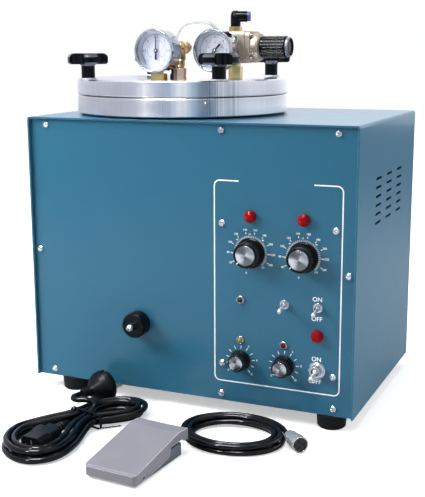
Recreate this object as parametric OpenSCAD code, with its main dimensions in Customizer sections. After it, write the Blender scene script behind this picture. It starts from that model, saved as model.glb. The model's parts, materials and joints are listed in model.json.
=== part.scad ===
// Vacuum wax injector: a heated wax pot hung in a sheet-metal cabinet, with a bolted
// lid that carries two gauges and a pressure regulator, a control panel, a foot pedal
// on a lead and a mains lead. Millimetres. X is the width, Y runs from front to back,
// Z is up from the bench. The origin is at the middle of the whole footprint.

/* [Cabinet] */
// Outer width of the cabinet cover
cab_w = 380; // [360:1:420]
// Outer depth of the cabinet cover, front edge to rear edge
cab_d = 248; // [246:1:300]
// Height of the cabinet cover
cab_h = 300; // [300:1:340]
// Thickness of the steel sheet
sheet_t = 2; // [1.2:0.1:2.5]
// Outer bend radius of the cover's two long top edges
bend_r = 3; // [2.6:0.1:6]
// How far the front and rear panels sit back from the cover's edges
panel_recess = 3.5; // [1:0.1:6]
// Width of the folded flanges that the panels screw to
flange_w = 14; // [12:0.5:18]
// Height of a rubber foot below the cabinet
foot_h = 15; // [10:0.5:25]
// Radius of a rubber foot
foot_r = 15; // [10:0.5:20]
// Length of one vent slot
vent_len = 23; // [10:0.5:30]
// Width of one vent slot
vent_w = 3; // [2:0.1:4]
// Vent slots in one column
vent_rows = 6; // [3:1:8]
// Height between vent slots
vent_pitch = 9.4; // [7:0.1:12]

/* [Wax pot and lid] */
// Pot centre, from the cabinet's middle, negative to the left
pot_x = -56; // [-60:1:-50]
// Pot centre, from the cabinet's front edge
pot_y = 124; // [123:1:126]
// Inner radius of the wax pot
pot_r = 75; // [60:1:78]
// Wall of the wax pot
pot_wall = 6; // [4:0.5:6]
// Depth of the pot's inside below the top of its flange
pot_depth = 262; // [240:1:264]
// Radius of the pot flange and of the lid
flange_r = 122; // [121:0.5:123]
// Thickness of the pot flange
flange_t = 20; // [16:0.5:24]
// Thickness of the lid
lid_t = 17; // [14:0.5:20]
// Open seam between flange and lid
lid_seam = 1; // [0.6:0.1:1.5]
// Radius of the bolt circle of the four star knobs
bolt_circle_r = 112.8; // [112:0.1:113]
// Radius of the studs under the star knobs
stud_r = 4; // [3:0.5:4]

/* [Star knobs] */
// Radius of a star knob's head
star_r = 22.5; // [20:0.5:23]
// Height of a star knob's head
star_head_h = 12; // [9:0.5:14]
// Height of the stem under the head
star_stem_h = 15; // [12:0.5:17]
// Radius of the stem
star_stem_r = 7.6; // [6:0.1:9]

/* [Gauges and fittings on the lid] */
// Outer radius of a gauge case
gauge_r = 23.3; // [20:0.1:23.5]
// Depth of a gauge case
gauge_depth = 22; // [20:0.5:23]
// Height of the gauge centres above the lid
gauge_z = 31; // [29:0.5:33]
// Width of the regulator's square body
reg_w = 35; // [33:0.5:36]
// Height of the regulator's axis above the lid
reg_z = 34.5; // [33:0.5:37]
// Radius of the regulator's ribbed knob
reg_knob_r = 12; // [10:0.1:14]
// Length of the regulator's ribbed knob
reg_knob_len = 33; // [28:0.5:36]
// Diameter of the clear hose
hose_d = 4; // [3.8:0.1:4.2]

/* [Control panel] */
// Radius of a temperature knob's skirt
dial_skirt_r = 16; // [14:0.1:17]
// Height of a temperature knob
dial_h = 15.5; // [13:0.5:18]
// Radius of a timer knob's skirt
timer_skirt_r = 11.3; // [10:0.1:12]
// Height of a timer knob
timer_h = 14; // [12:0.5:16]
// Radius of a potentiometer shaft
shaft_r = 3; // [2.5:0.1:3.2]
// Tilt of a resting toggle lever below the horizontal, in degrees
toggle_tilt = 16; // [10:1:17]

/* [Nozzle] */
// Nozzle height above the cabinet's underside
nozzle_z = 75.8; // [74:0.1:80]
// Radius of the black nozzle collar
collar_r = 14; // [11:0.5:16]
// How far the collar's face stands out of the cabinet's front edge
collar_out = 12; // [8:0.5:16]
// Radius of the nozzle tip
tip_r = 4.2; // [3.5:0.1:4.5]
// How far the tip stands out of the collar
tip_out = 11; // [8:0.5:14]
// Radius of the orifice through the tip
orifice_r = 0.8; // [0.6:0.1:1.2]

/* [Foot pedal] */
// Width of the pedal
pedal_w = 57; // [50:0.5:60]
// Length of the treadle
pedal_len = 97; // [95:0.5:99]
// Wall of the pedal castings
pedal_wall = 2.4; // [2:0.1:2.6]
// Turn of the pedal on the bench, clockwise from above, in degrees
pedal_turn = 5; // [0:0.5:8]

/* [Leads] */
// Diameter of the pedal lead
pedal_cord_d = 5.3; // [5:0.1:5.3]
// Diameter of the mains lead
mains_cord_d = 6.4; // [6:0.1:6.4]

/* [Hidden] */

$fn = 96;

// Small fits and gaps shared by pieces that meet
gap = 0.3;
slip = 0.05;
eps = 0.01;

// The pedal's front right corner on the bench, from the cabinet's front edge
pedal_x = 45.3;
pedal_out = 198.6;
pedal_corner_r = 4;
// What stands furthest out of the rear edge of the cabinet
port_barb_out = 16;

// The cabinet's front edge in the row frame: the footprint's middle is the origin
pedal_front = -pedal_out + pedal_corner_r * (sin(pedal_turn) + cos(pedal_turn) - 1);
front_y = -(cab_d + port_barb_out + pedal_front) / 2;

// Cabinet heights and inner faces
cab_top = foot_h + cab_h;
in_w = cab_w / 2 - sheet_t;
panel_back = panel_recess + sheet_t;
panel_gap = 0.4;
screw_r = 1.9;
screw_hole_r = 2.15;
screw_head_r = 3.7;
screw_head_h = 2.2;
screw_len = 9;
foot_in_x = 35;
foot_in_y = 17;
foot_top_r = foot_r + 1.5;
vent_first_z = 192.8;
vent_cols = [81, 127, 173.5];

// Screws of the front and rear panels: offsets in from the cover's outer corner
corner_screw = [22.2, 8.3];
side_screw_in = 8.5;
panel_screw_at = [
    [-(cab_w / 2 - corner_screw[0]), cab_h - corner_screw[1]],
    [43, cab_h - corner_screw[1]],
    [cab_w / 2 - corner_screw[0], cab_h - corner_screw[1]],
    [-(cab_w / 2 - side_screw_in), cab_h / 2],
    [cab_w / 2 - side_screw_in, cab_h / 2],
    [-(cab_w / 2 - corner_screw[0]), corner_screw[1]],
    [43, corner_screw[1]],
    [cab_w / 2 - corner_screw[0], corner_screw[1]]
];

// Control panel positions, [x, height above the cabinet's underside]
board_screw_at = [[44, 195], [167, 195], [44, 42.5], [167, 42.5]];
dial_at = [[76, 165.5], [133.5, 165.5]];
timer_at = [[65, 48], [114, 48]];
lamp_at = [[76, 204], [134, 204], [150, 84.5]];
led_at = [[65, 114.5], [65, 70.5], [113.5, 70.5]];
toggle_at = [[114, 114.5], [150, 114.5]];
power_at = [150, 48];
board_gap = 12;
board_t = 1.6;
standoff_r = 4;

// Pot, flange and lid heights
flange_z = cab_top + 2;
flange_top = flange_z + flange_t;
pot_bottom_t = 8;
pot_floor_z = flange_top - pot_depth;
pot_hole_r = pot_r + pot_wall + 3;
lid_z = flange_top + lid_seam;
lid_top = lid_z + lid_t;
seal_in = pot_r + 3;
seal_out = pot_r + 15;
seal_groove = 1;
stud_hole_r = stud_r + 0.35;
stud_through = 14;
washer_t = 1.5;
washer_r = 10;
bolt_angles = [-45, 45, 135, 225];

// The valve block between pot and front panel
nozzle_h = foot_h + nozzle_z;
boss_w = 32;
boss_out = 4;
boss_face_y = pot_y - pot_r - pot_wall - boss_out;
wax_way_r = 4;
block_w = 36;
collar_neck_r = 10;
collar_hole_r = collar_neck_r + gap;
tip_hole_r = tip_r + 0.15;

// Gauges: [x, y of the front rim]
left_gauge = [-44.5, 26];
right_gauge = [5.5, 68];
gauge_wall = 1.2;
bezel_in = 2.4;
glass_t = 1.5;
dial_back = 7.5;
dial_t = 0.9;
needle_plane = 5.6;
needle_t = 0.5;
needle_shaft_r = 0.8;
left_hex = [-44.5, 39];

// Regulator and the fittings around it
reg_at = [12.5, 118];
bonnet_len = 15;
elbow_turn = 20;
vac_elbow_at = [-27.4, 56];
vac_elbow_turn = 96;
hose_fit_at = [-38, 66];
port_hex_r = 7;

// Clear hose: from the fitting behind the left gauge, over to the regulator
hose_start = [hose_fit_at[0], hose_fit_at[1], 20];
hose_end = [reg_at[0] - reg_w / 2 - 8, reg_at[1], reg_z + 9];
hose_route = [
    hose_start, hose_start + [0, 0, hose_d],
    [-38, 66, 34], [-36.5, 66.3, 44], [-33, 67, 52.5], [-27, 68.5, 58.5],
    [-20, 71.5, 61], [-14, 77, 61.5], [-10.5, 84, 61.5], [-9, 92, 61],
    [-8.2, 100, 59], [-7.6, 107.5, 55.5], [-7.2, 113.5, 51],
    hose_end + [0, 0, hose_d], hose_end
];

// ---------------------------------------------------------------- helpers

// The bench frame: x from the cabinet's middle, y from its front edge, z from the bench
module bench() translate([0, front_y, 0]) children();

// Local +Z points out of the front panel, at a panel position
module on_panel(at) bench() translate([at[0], panel_recess, foot_h + at[1]])
    rotate([90, 0, 0]) children();

// Local +Z points out of the rear panel, at a panel position
module on_rear(at) bench() translate([at[0], cab_d - panel_recess, foot_h + at[1]])
    rotate([0, 0, 180]) rotate([90, 0, 0]) children();

// Local origin on top of the lid
module on_lid(at) bench() translate([at[0], at[1], lid_top]) children();

// Local origin on the pot's axis at the bench's height
module on_pot() bench() translate([pot_x, pot_y, 0]) children();

// Repeats a child at the four bolts of the lid
module at_bolts() on_pot()
    for (a = bolt_angles) rotate([0, 0, a]) translate([bolt_circle_r, 0, 0]) children();

// A hexagonal prism measured across its flats
module hex(flats, h) rotate([0, 0, 30]) cylinder(r = flats / sqrt(3), h = h, $fn = 6);

// A flat rounded rectangle centred on the origin
module round_rect(w, h, r) {
    square([w - 2 * r, h], center = true);
    square([w, h - 2 * r], center = true);
    for (i = [-1, 1], j = [-1, 1])
        translate([i * (w / 2 - r), j * (h / 2 - r)]) circle(r = r);
}

// A revolved solid from [radius, height] points
module turned(points) rotate_extrude() polygon(points);

// A slot with round ends, along X
module slot(len, w) {
    square([len - w, w], center = true);
    for (s = [-1, 1]) translate([s * (len - w) / 2, 0]) circle(r = w / 2);
}

// ---------------------------------------------------------------- swept tubes

function unit(v) = v / norm(v);
function tangent(p, i) = unit(p[min(i + 1, len(p) - 1)] - p[max(i - 1, 0)]);
// Side vectors carried along the route without twist
function carry(side, t) = unit(side - (side * t) * t);
function sides(p, i = 0, side = [0.05, 0.1, 1], out = []) =
    i == len(p) ? out
    : let (n = carry(side, tangent(p, i))) sides(p, i + 1, n, concat(out, [n]));
// A route smoothed through its own points, with steps new points in each stretch
function spline(a, b, c, d, t) = 0.5 * (2 * b + (c - a) * t
    + (2 * a - 5 * b + 4 * c - d) * t * t + (3 * b - a - 3 * c + d) * t * t * t);
function smooth(p, steps) = concat([for (i = [0 : len(p) - 2], k = [0 : steps - 1])
    spline(p[max(i - 1, 0)], p[i], p[i + 1], p[min(i + 2, len(p) - 1)], k / steps)],
    [p[len(p) - 1]]);
function path_length(p, i = 1) = i == len(p) ? 0 : norm(p[i] - p[i - 1]) + path_length(p, i + 1);
// The least distance between stretches of a route that aren't neighbours, tube taken off
function far_apart(p, d, skip) = min([for (i = [0 : len(p) - 1 - skip])
    for (j = [i + skip : len(p) - 1]) norm(p[i] - p[j])]) - d;

// One closed tube of triangles along a route
module tube(p, d, facets) {
    n = len(p);
    side = sides(p);
    rings = [for (i = [0 : n - 1])
        let (t = tangent(p, i), u = side[i], v = cross(t, u))
        for (k = [0 : facets - 1])
            p[i] + d / 2 * (cos(360 * k / facets) * u + sin(360 * k / facets) * v)];
    walls = [for (i = [0 : n - 2], k = [0 : facets - 1])
        let (a = i * facets + k, b = i * facets + (k + 1) % facets)
        each [[a, b + facets, b], [a, a + facets, b + facets]]];
    caps = [for (k = [1 : facets - 2])
        each [[0, k, k + 1],
              [(n - 1) * facets, (n - 1) * facets + k + 1, (n - 1) * facets + k]]];
    polyhedron(rings, concat(walls, caps));
}

// ---------------------------------------------------------------- cabinet

// The cover's outline seen from the front: open below, bent at the top corners
module cover_outline(w, h, r) {
    translate([-w / 2, 0]) square([w, h - r]);
    translate([-w / 2 + r, 0]) square([w - 2 * r, h]);
    for (s = [-1, 1]) translate([s * (w / 2 - r), h - r]) circle(r = r);
}

// A flange behind one panel: along both sides and under the top
module cover_flange() difference() {
    cover_outline(cab_w - 2 * eps, cab_h - eps, bend_r);
    translate([-(in_w - flange_w), -eps])
        square([2 * (in_w - flange_w), cab_h - sheet_t - flange_w]);
}

module screw_hole(r, depth) cylinder(r = r, h = depth, center = true, $fn = 32);
module screw_holes(at, r, depth)
    for (p = at) translate([p[0], p[1], 0]) screw_hole(r, depth);

module cabinet_cover() color("#4f8aa6") difference() {
    bench() translate([0, 0, foot_h]) union() {
        difference() {
            translate([0, cab_d, 0]) rotate([90, 0, 0]) linear_extrude(cab_d)
                cover_outline(cab_w, cab_h, bend_r);
            translate([0, cab_d + 1, -1]) rotate([90, 0, 0]) linear_extrude(cab_d + 2)
                cover_outline(2 * in_w, cab_h - sheet_t + 1, bend_r - sheet_t);
        }
        for (y = [panel_back, cab_d - panel_back - sheet_t])
            translate([0, y + sheet_t, 0]) rotate([90, 0, 0]) linear_extrude(sheet_t)
                cover_flange();
    }
    on_pot() translate([0, 0, cab_top - sheet_t - 1]) cylinder(r = pot_hole_r, h = sheet_t + 2);
    for (s = [-1, 1], y = vent_cols, k = [0 : vent_rows - 1]) bench()
        translate([s * cab_w / 2, y, foot_h + vent_first_z + k * vent_pitch])
            rotate([90, 0, 90]) linear_extrude(2 * sheet_t + 2, center = true)
                slot(vent_len, vent_w);
    for (i = [0 : 4]) {
        on_panel(panel_screw_at[i]) screw_hole(screw_hole_r, 30);
        on_rear(panel_screw_at[i]) screw_hole(screw_hole_r, 30);
    }
}

// A plain panel that fills the opening inside the cover
module panel_plate() linear_extrude(sheet_t)
    translate([-in_w + panel_gap, 0.6])
        square([2 * (in_w - panel_gap), cab_h - sheet_t - panel_gap - 0.6]);

module front_panel() color("#3d6f8e") difference() {
    on_panel([0, 0]) translate([0, 0, -sheet_t]) panel_plate();
    on_panel([0, 0]) {
        screw_holes(panel_screw_at, screw_hole_r, 20);
        screw_holes(board_screw_at, screw_hole_r, 20);
        screw_holes(dial_at, shaft_r + 1.2, 20);
        screw_holes(timer_at, shaft_r + 1.2, 20);
        screw_holes(lamp_at, lamp_neck_r + slip, 20);
        screw_holes(led_at, led_neck_r + slip, 20);
        screw_holes(toggle_at, toggle_bush_r + slip, 20);
        screw_holes([power_at], power_bush_r + slip, 20);
        screw_holes([[pot_x, nozzle_z]], collar_hole_r, 20);
    }
}

// Rear fittings, [x, height above the cabinet's underside]
inlet_at = [120, 60];
socket_at = [60, 60];
port_at = [-10, 60];
inlet_flange = [50, 30];
inlet_body = [28.5, 20.5];
inlet_screw_x = 20;

module rear_panel() color("#4a7f9c") difference() {
    on_rear([0, 0]) translate([0, 0, -sheet_t]) panel_plate();
    for (p = panel_screw_at) on_rear(p) screw_hole(screw_hole_r, 20);
    on_rear(inlet_at) {
        linear_extrude(20, center = true)
            round_rect(inlet_body[0] + 2 * gap, inlet_body[1] + 2 * gap, 2);
        screw_holes([[-inlet_screw_x, 0], [inlet_screw_x, 0]], screw_hole_r, 20);
    }
    on_rear(socket_at) screw_hole(socket_thread_r + slip, 20);
    on_rear(port_at) screw_hole(port_thread_r + slip, 20);
}

// The base tray: a floor with its four edges turned up inside the cover and panels
base_lip = 16;
base_front_y = panel_back + slip;
module base_plate() color("#6f8795") difference() {
    bench() translate([0, 0, foot_h]) difference() {
        translate([-(in_w - slip), base_front_y, 0])
            cube([2 * (in_w - slip), cab_d - 2 * base_front_y, base_lip]);
        translate([-(in_w - slip - sheet_t), base_front_y + sheet_t, sheet_t])
            cube([2 * (in_w - slip - sheet_t), cab_d - 2 * base_front_y - 2 * sheet_t, 40]);
        // The corners are cut away round the cover's folded flanges
        for (s = [-1, 1], y = [0, cab_d]) translate([s * in_w, y, 0])
            cube([2 * flange_w + 1, 2 * (panel_back + sheet_t + gap), 80], center = true);
    }
    for (i = [5 : 7]) {
        on_panel(panel_screw_at[i]) screw_hole(screw_hole_r, 30);
        on_rear(panel_screw_at[i]) screw_hole(screw_hole_r, 30);
    }
    at_feet() cylinder(r = screw_hole_r, h = 60, center = true, $fn = 32);
}

// The four feet, from the cabinet's middle
module at_feet() bench()
    for (x = [-(cab_w / 2 - foot_in_x - 8), cab_w / 2 - foot_in_x + 8],
         y = [foot_in_y, cab_d - foot_in_y]) translate([x, y, 0]) children();

module rubber_feet() color("#1c1c1e") at_feet() difference() {
    turned([[0, 0], [foot_r - 1.5, 0], [foot_r, 1.5], [foot_top_r - 0.5, foot_h - 1],
            [foot_top_r - 0.5, foot_h], [0, foot_h]]);
    translate([0, 0, -1]) cylinder(r = screw_head_r + 0.8, h = 6);
    cylinder(r = screw_hole_r, h = 60, center = true, $fn = 32);
}

// A cross-head screw whose head sits on local z = 0 and whose shank goes down
module cross_screw(len, head_r = screw_head_r, head_h = screw_head_h) difference() {
    turned([[0, -len], [screw_r - 0.4, -len], [screw_r, -len + 0.8], [screw_r, 0],
            [head_r, 0], [head_r, head_h * 0.35], [head_r * 0.72, head_h * 0.86],
            [head_r * 0.3, head_h], [0, head_h]]);
    for (a = [0, 90]) rotate([0, 0, a]) translate([0, 0, head_h])
        cube([head_r * 1.15, 0.9, head_h * 1.1], center = true);
}

module panel_screws() color("#d4d7da") {
    for (p = panel_screw_at) on_panel(p) rotate([0, 0, 25 + 40 * p[0]]) cross_screw(screw_len);
    for (p = panel_screw_at) on_rear(p) rotate([0, 0, 60 + 33 * p[0]]) cross_screw(screw_len);
    for (p = board_screw_at) on_panel(p) rotate([0, 0, 31 * p[1]])
        cross_screw(sheet_t + board_gap - 2);
    at_feet() translate([0, 0, 5]) mirror([0, 0, 1]) cross_screw(foot_h + 2);
    for (s = [-1, 1]) on_rear(inlet_at + [s * inlet_screw_x, 0])
        translate([0, 0, inlet_flange_t]) rotate([0, 0, 45 + 30 * s])
            cross_screw(inlet_flange_t + sheet_t + 3, 2.9, 1.8);
}

// ---------------------------------------------------------------- wax pot and lid

module bolt_holes(r) at_bolts() cylinder(r = r, h = 900, center = true, $fn = 48);

module wax_pot() color("#c9ccd0") difference() {
    union() {
        on_pot() turned([
            [0, pot_floor_z - pot_bottom_t], [pot_r + pot_wall - 5, pot_floor_z - pot_bottom_t],
            [pot_r + pot_wall, pot_floor_z - pot_bottom_t + 5], [pot_r + pot_wall, flange_z],
            [flange_r - 1, flange_z], [flange_r, flange_z + 1], [flange_r, flange_top - 1],
            [flange_r - 1, flange_top], [0, flange_top]]);
        bench() translate([pot_x - boss_w / 2, boss_face_y, nozzle_h - boss_w / 2])
            cube([boss_w, pot_y - boss_face_y, boss_w]);
    }
    on_pot() turned([
        [0, pot_floor_z], [pot_r - 8, pot_floor_z], [pot_r, pot_floor_z + 8],
        [pot_r, flange_top + 1], [0, flange_top + 1]]);
    on_pot() translate([0, 0, flange_top - seal_groove]) difference() {
        cylinder(r = seal_out + 0.2, h = 10);
        translate([0, 0, -1]) cylinder(r = seal_in - 0.2, h = 12);
    }
    bench() translate([pot_x, boss_face_y - 1, nozzle_h]) rotate([-90, 0, 0])
        cylinder(r = wax_way_r, h = pot_y - boss_face_y, $fn = 48);
    bolt_holes(stud_hole_r);
    // The vent hole in the flange's rim
    on_pot() rotate([0, 0, -54]) translate([flange_r, 0, flange_z + flange_t * 0.8])
        rotate([0, 90, 0]) cylinder(r = 1.2, h = 12, center = true, $fn = 24);
}

module flange_gasket() color("#2a2a2c") on_pot() turned([
    [pot_hole_r + 1, cab_top], [flange_r - 4, cab_top], [flange_r - 4, flange_z],
    [pot_hole_r + 1, flange_z]]);

module lid_gasket() color("#b4402f") on_pot() turned([
    [seal_in, flange_top - seal_groove], [seal_out, flange_top - seal_groove],
    [seal_out, lid_z - 0.02], [seal_in, lid_z - 0.02]]);

// A band heater clamped round the pot, with its gap and clamp ears at the back
band_t = 3;
band_z = 150;
band_h = 90;
module heater_band() color("#a8a49c") on_pot() difference() {
    union() {
        translate([0, 0, band_z]) cylinder(r = pot_r + pot_wall + 0.1 + band_t, h = band_h);
        translate([-7, pot_r, band_z + 10]) cube([14, pot_wall + 16, band_h - 20]);
    }
    translate([0, 0, band_z - 1]) cylinder(r = pot_r + pot_wall + 0.1, h = band_h + 2);
    translate([-2.5, 0, band_z - 1]) cube([5, 200, band_h + 2]);
    for (z = [band_z + 22, band_z + band_h - 22]) translate([0, pot_r + pot_wall + 10, z])
        rotate([0, 90, 0]) cylinder(r = 2.2, h = 30, center = true, $fn = 32);
}

module pot_lid() color("#cfd2d6") difference() {
    on_pot() turned([
        [0, lid_z], [flange_r - 1, lid_z], [flange_r, lid_z + 1], [flange_r, lid_top - 1],
        [flange_r - 1, lid_top], [0, lid_top]]);
    bolt_holes(stud_hole_r + 0.25);
    // Ports under the gauge, the vacuum elbow, the hose fitting and the regulator
    for (p = [left_hex, vac_elbow_at, hose_fit_at, reg_at])
        on_lid(p) cylinder(r = 2.5, h = 80, center = true, $fn = 32);
}

module lid_washers() color("#e4e4e2") at_bolts() translate([0, 0, lid_top]) difference() {
    cylinder(r = washer_r, h = washer_t);
    translate([0, 0, -1]) cylinder(r = stud_hole_r + 0.25, h = 5);
}

// The four-lobed head, domed at its rim, on a round stem with the stud below
lobe_cut_r = 12.5;
module star_knob(i, turn) {
    base = lid_top + washer_t + 0.15;
    head_z = base + star_stem_h;
    top = head_z + star_head_h;
    on_pot() rotate([0, 0, bolt_angles[i]]) translate([bolt_circle_r, 0, 0])
        rotate([0, 0, turn - bolt_angles[i]]) union() {
        difference() {
            turned([[0, head_z], [star_r - 2, head_z], [star_r, head_z + 2],
                    [star_r, top - 4.2], [star_r - 1.2, top - 2], [star_r - 3.6, top - 0.5],
                    [star_r - 6, top], [0, top]]);
            for (a = [45 : 90 : 315]) rotate([0, 0, a])
                translate([star_r + lobe_cut_r * 0.42, 0, head_z - 1])
                    cylinder(r = lobe_cut_r, h = star_head_h + 2);
        }
        turned([[0, base], [star_stem_r, base], [star_stem_r, head_z - 2],
                [star_stem_r + 1.5, head_z + eps], [0, head_z + eps]]);
        translate([0, 0, flange_top - stud_through])
            cylinder(r = stud_r, h = base - flange_top + stud_through + 1, $fn = 48);
    }
}

module star_knob_front_right() color("#17181a") star_knob(0, -8);
module star_knob_rear_right() color("#17181a") star_knob(1, 22);
module star_knob_rear_left() color("#17181a") star_knob(2, 50);
module star_knob_front_left() color("#17181a") star_knob(3, 40);

// ---------------------------------------------------------------- gauges

// Local +Z points out of the gauge's face, origin at the middle of its back
module in_gauge(at) on_lid([at[0], at[1] + gauge_depth]) translate([0, 0, gauge_z])
    rotate([90, 0, 0]) children();

module each_gauge() {
    in_gauge(left_gauge) children();
    in_gauge(right_gauge) children();
}

dial_z = gauge_depth - dial_back - dial_t;
gauge_in_r = gauge_r - gauge_wall;
movement_r = 7;
module gauge_case() turned([
    [0, 0], [gauge_r - 2.5, 0], [gauge_r - 0.7, 1.2], [gauge_r - 0.7, gauge_depth - 5],
    [gauge_r, gauge_depth - 4.6], [gauge_r, gauge_depth - 1.4], [gauge_r - 0.9, gauge_depth],
    [gauge_r - bezel_in + 0.6, gauge_depth], [gauge_r - bezel_in, gauge_depth - 0.8],
    [gauge_r - bezel_in, gauge_depth - 2.2], [gauge_in_r, gauge_depth - 2.2],
    [gauge_in_r, dial_z - 0.05], [gauge_in_r - 2.2, dial_z - 0.05], [gauge_in_r - 2.2, 2],
    [0, 2]]);

module gauge_cases() color("#c4c8cc") {
    difference() {
        in_gauge(left_gauge) gauge_case();
        on_lid(left_hex) cylinder(r = gauge_stem_r + slip, h = gauge_z, $fn = 48);
    }
    difference() {
        in_gauge(right_gauge) gauge_case();
        in_gauge(right_gauge) cylinder(r = gauge_stem_r + slip, h = 8, center = true, $fn = 48);
    }
}

module gauge_dials() color("#f2f3f5") each_gauge() translate([0, 0, dial_z]) difference() {
    cylinder(r = gauge_in_r - slip, h = dial_t);
    cylinder(r = needle_shaft_r + gap, h = 5, center = true, $fn = 24);
}

module gauge_glasses() color("#cfe4ee", 0.35) each_gauge()
    translate([0, 0, gauge_depth - 2.2 - slip - glass_t])
        cylinder(r = gauge_in_r - slip, h = glass_t);

module gauge_movements() color("#b99a4b") {
    stem = gauge_stem_r + 3.2;
    in_gauge(left_gauge) difference() {
        union() {
            translate([0, 0, 2 + slip]) cylinder(r = movement_r, h = dial_z - 3.2);
            translate([-9, 3.2, 2 + slip]) cube([18, 3, dial_z - 5]);
        }
        cylinder(r = needle_shaft_r + slip, h = 60, center = true, $fn = 24);
    }
    in_gauge(right_gauge) difference() {
        union() {
            translate([0, 0, 4.5]) cylinder(r = movement_r, h = dial_z - 5.7);
            translate([-9, 3.2, 4.5]) cube([18, 3, dial_z - 7.5]);
        }
        cylinder(r = needle_shaft_r + slip, h = 60, center = true, $fn = 24);
    }
}

// Brass sockets: the left gauge stands on its hex, the right one is fed from behind
gauge_stem_r = 5;
left_stem_top = gauge_z - gauge_in_r - 0.1;
right_neck_len = reg_at[1] - reg_w / 2 - right_gauge[1] - gauge_depth;
module gauge_sockets() color("#b8923c") {
    on_lid(left_hex) {
        hex(15.5, 7);
        cylinder(r = gauge_stem_r, h = left_stem_top, $fn = 48);
        translate([0, 0, 7]) cylinder(r = 6.6, h = gauge_z - gauge_r - 7 - 0.6);
    }
    in_gauge(right_gauge) {
        translate([0, 0, -right_neck_len]) cylinder(r = gauge_stem_r, h = right_neck_len + 4);
        translate([0, 0, -right_neck_len]) cylinder(r = 7, h = right_neck_len - 0.3);
    }
}

// A needle: a tapered pointer, a stubby tail and a hub on a shaft; it points up at 0
module needle(point, turn) rotate([0, 0, turn]) {
    translate([0, 0, gauge_depth - needle_plane - needle_t]) {
        linear_extrude(needle_t) {
            polygon([[-0.75, 0], [-0.18, point], [0.18, point], [0.75, 0]]);
            polygon([[-0.75, 0.5], [0.75, 0.5], [1.25, -9.5], [-1.25, -9.5]]);
            circle(r = 2.3);
        }
        translate([0, 0, -0.5]) cylinder(r = 1.7, h = needle_t + 1, $fn = 32);
    }
    translate([0, 0, 6]) cylinder(r = needle_shaft_r, h = gauge_depth - needle_plane - 6, $fn = 24);
}

module left_needle() color("#15161a") in_gauge(left_gauge) needle(16.5, 0);
module right_needle() color("#15161a") in_gauge(right_gauge) needle(15.5, 135);

// ---------------------------------------------------------------- regulator

// Local +Z runs along the regulator's axis, to the right
module on_reg() on_lid(reg_at) translate([0, 0, reg_z]) rotate([0, 90, 0]) children();

module regulator_body() color("#b4a596") on_reg() difference() {
    intersection() {
        linear_extrude(reg_w, center = true) round_rect(reg_w, reg_w, 4);
        rotate([90, 0, 0]) linear_extrude(reg_w + 1, center = true) round_rect(reg_w, reg_w, 2.5);
    }
    // Ports: outlet below, inlet above, and the outlet on the left
    for (s = [-1, 1]) translate([s * (reg_w / 2 - 6), 0, 0]) rotate([0, s * 90, 0])
        cylinder(r = 4, h = 10, $fn = 48);
    translate([0, 0, -reg_w / 2 - 1]) cylinder(r = 4, h = 9, $fn = 48);
    // Grooves on the front face
    for (z = [-11, -7]) translate([0, -reg_w / 2, z]) cube([reg_w + 2, 1.4, 1.2], center = true);
}

bonnet_z = reg_w / 2;
module regulator_bonnet() color("#bdae9e") on_reg() difference() {
    union() {
        translate([0, 0, bonnet_z]) linear_extrude(5.5) round_rect(reg_w - 1, reg_w - 1, 5);
        translate([0, 0, bonnet_z]) turned([[0, 0], [15.6, 0], [15.6, bonnet_len - 4],
            [14.4, bonnet_len - 1.5], [11.5, bonnet_len - 0.3], [0, bonnet_len - 0.3]]);
        for (i = [-1, 1], j = [-1, 1]) translate([i * 12.6, j * 12.6, bonnet_z + 5.4])
            cylinder(r = 2.3, h = 2.2, $fn = 32);
        translate([0, 0, bonnet_z + bonnet_len - 1]) cylinder(r = 5, h = 12, $fn = 48);
    }
    for (i = [-1, 1], j = [-1, 1]) translate([i * 12.6, j * 12.6, bonnet_z + 7.2])
        hex(2.4, 3);
}

// The pressure knob: ribs all round, a grey end ring
reg_ribs = 20;
module regulator_knob() color("#17181a") on_reg() translate([0, 0, bonnet_z + bonnet_len])
    difference() {
        turned([[0, 0], [reg_knob_r - 0.6, 0], [reg_knob_r, 0.8], [reg_knob_r, reg_knob_len - 5],
                [reg_knob_r - 1.4, reg_knob_len - 3.6], [reg_knob_r - 1.4, reg_knob_len - 1],
                [reg_knob_r - 2.4, reg_knob_len], [0, reg_knob_len]]);
        for (k = [0 : reg_ribs - 1]) rotate([0, 0, k * 360 / reg_ribs])
            translate([reg_knob_r + 0.35, 0, 3]) cylinder(r = 1.1, h = reg_knob_len - 9, $fn = 16);
        translate([0, 0, -1]) cylinder(r = 5 + slip, h = 13, $fn = 48);
        translate([0, 0, reg_knob_len - 1.2]) cylinder(r = reg_knob_r - 4.4, h = 3);
    }

// The hex nipples above, below and left of the regulator
reg_foot = reg_z - reg_w / 2;
module regulator_fittings() color("#c2a24c") {
    on_lid(reg_at) {
        hex(14, reg_foot - 4.2);
        cylinder(r = 5.8, h = reg_foot - 0.02, $fn = 48);
        translate([0, 0, reg_z + reg_w / 2]) {
            hex(12.8, 5);
            translate([0, 0, -5]) cylinder(r = 3.9, h = 12, $fn = 48);
        }
    }
}

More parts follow.
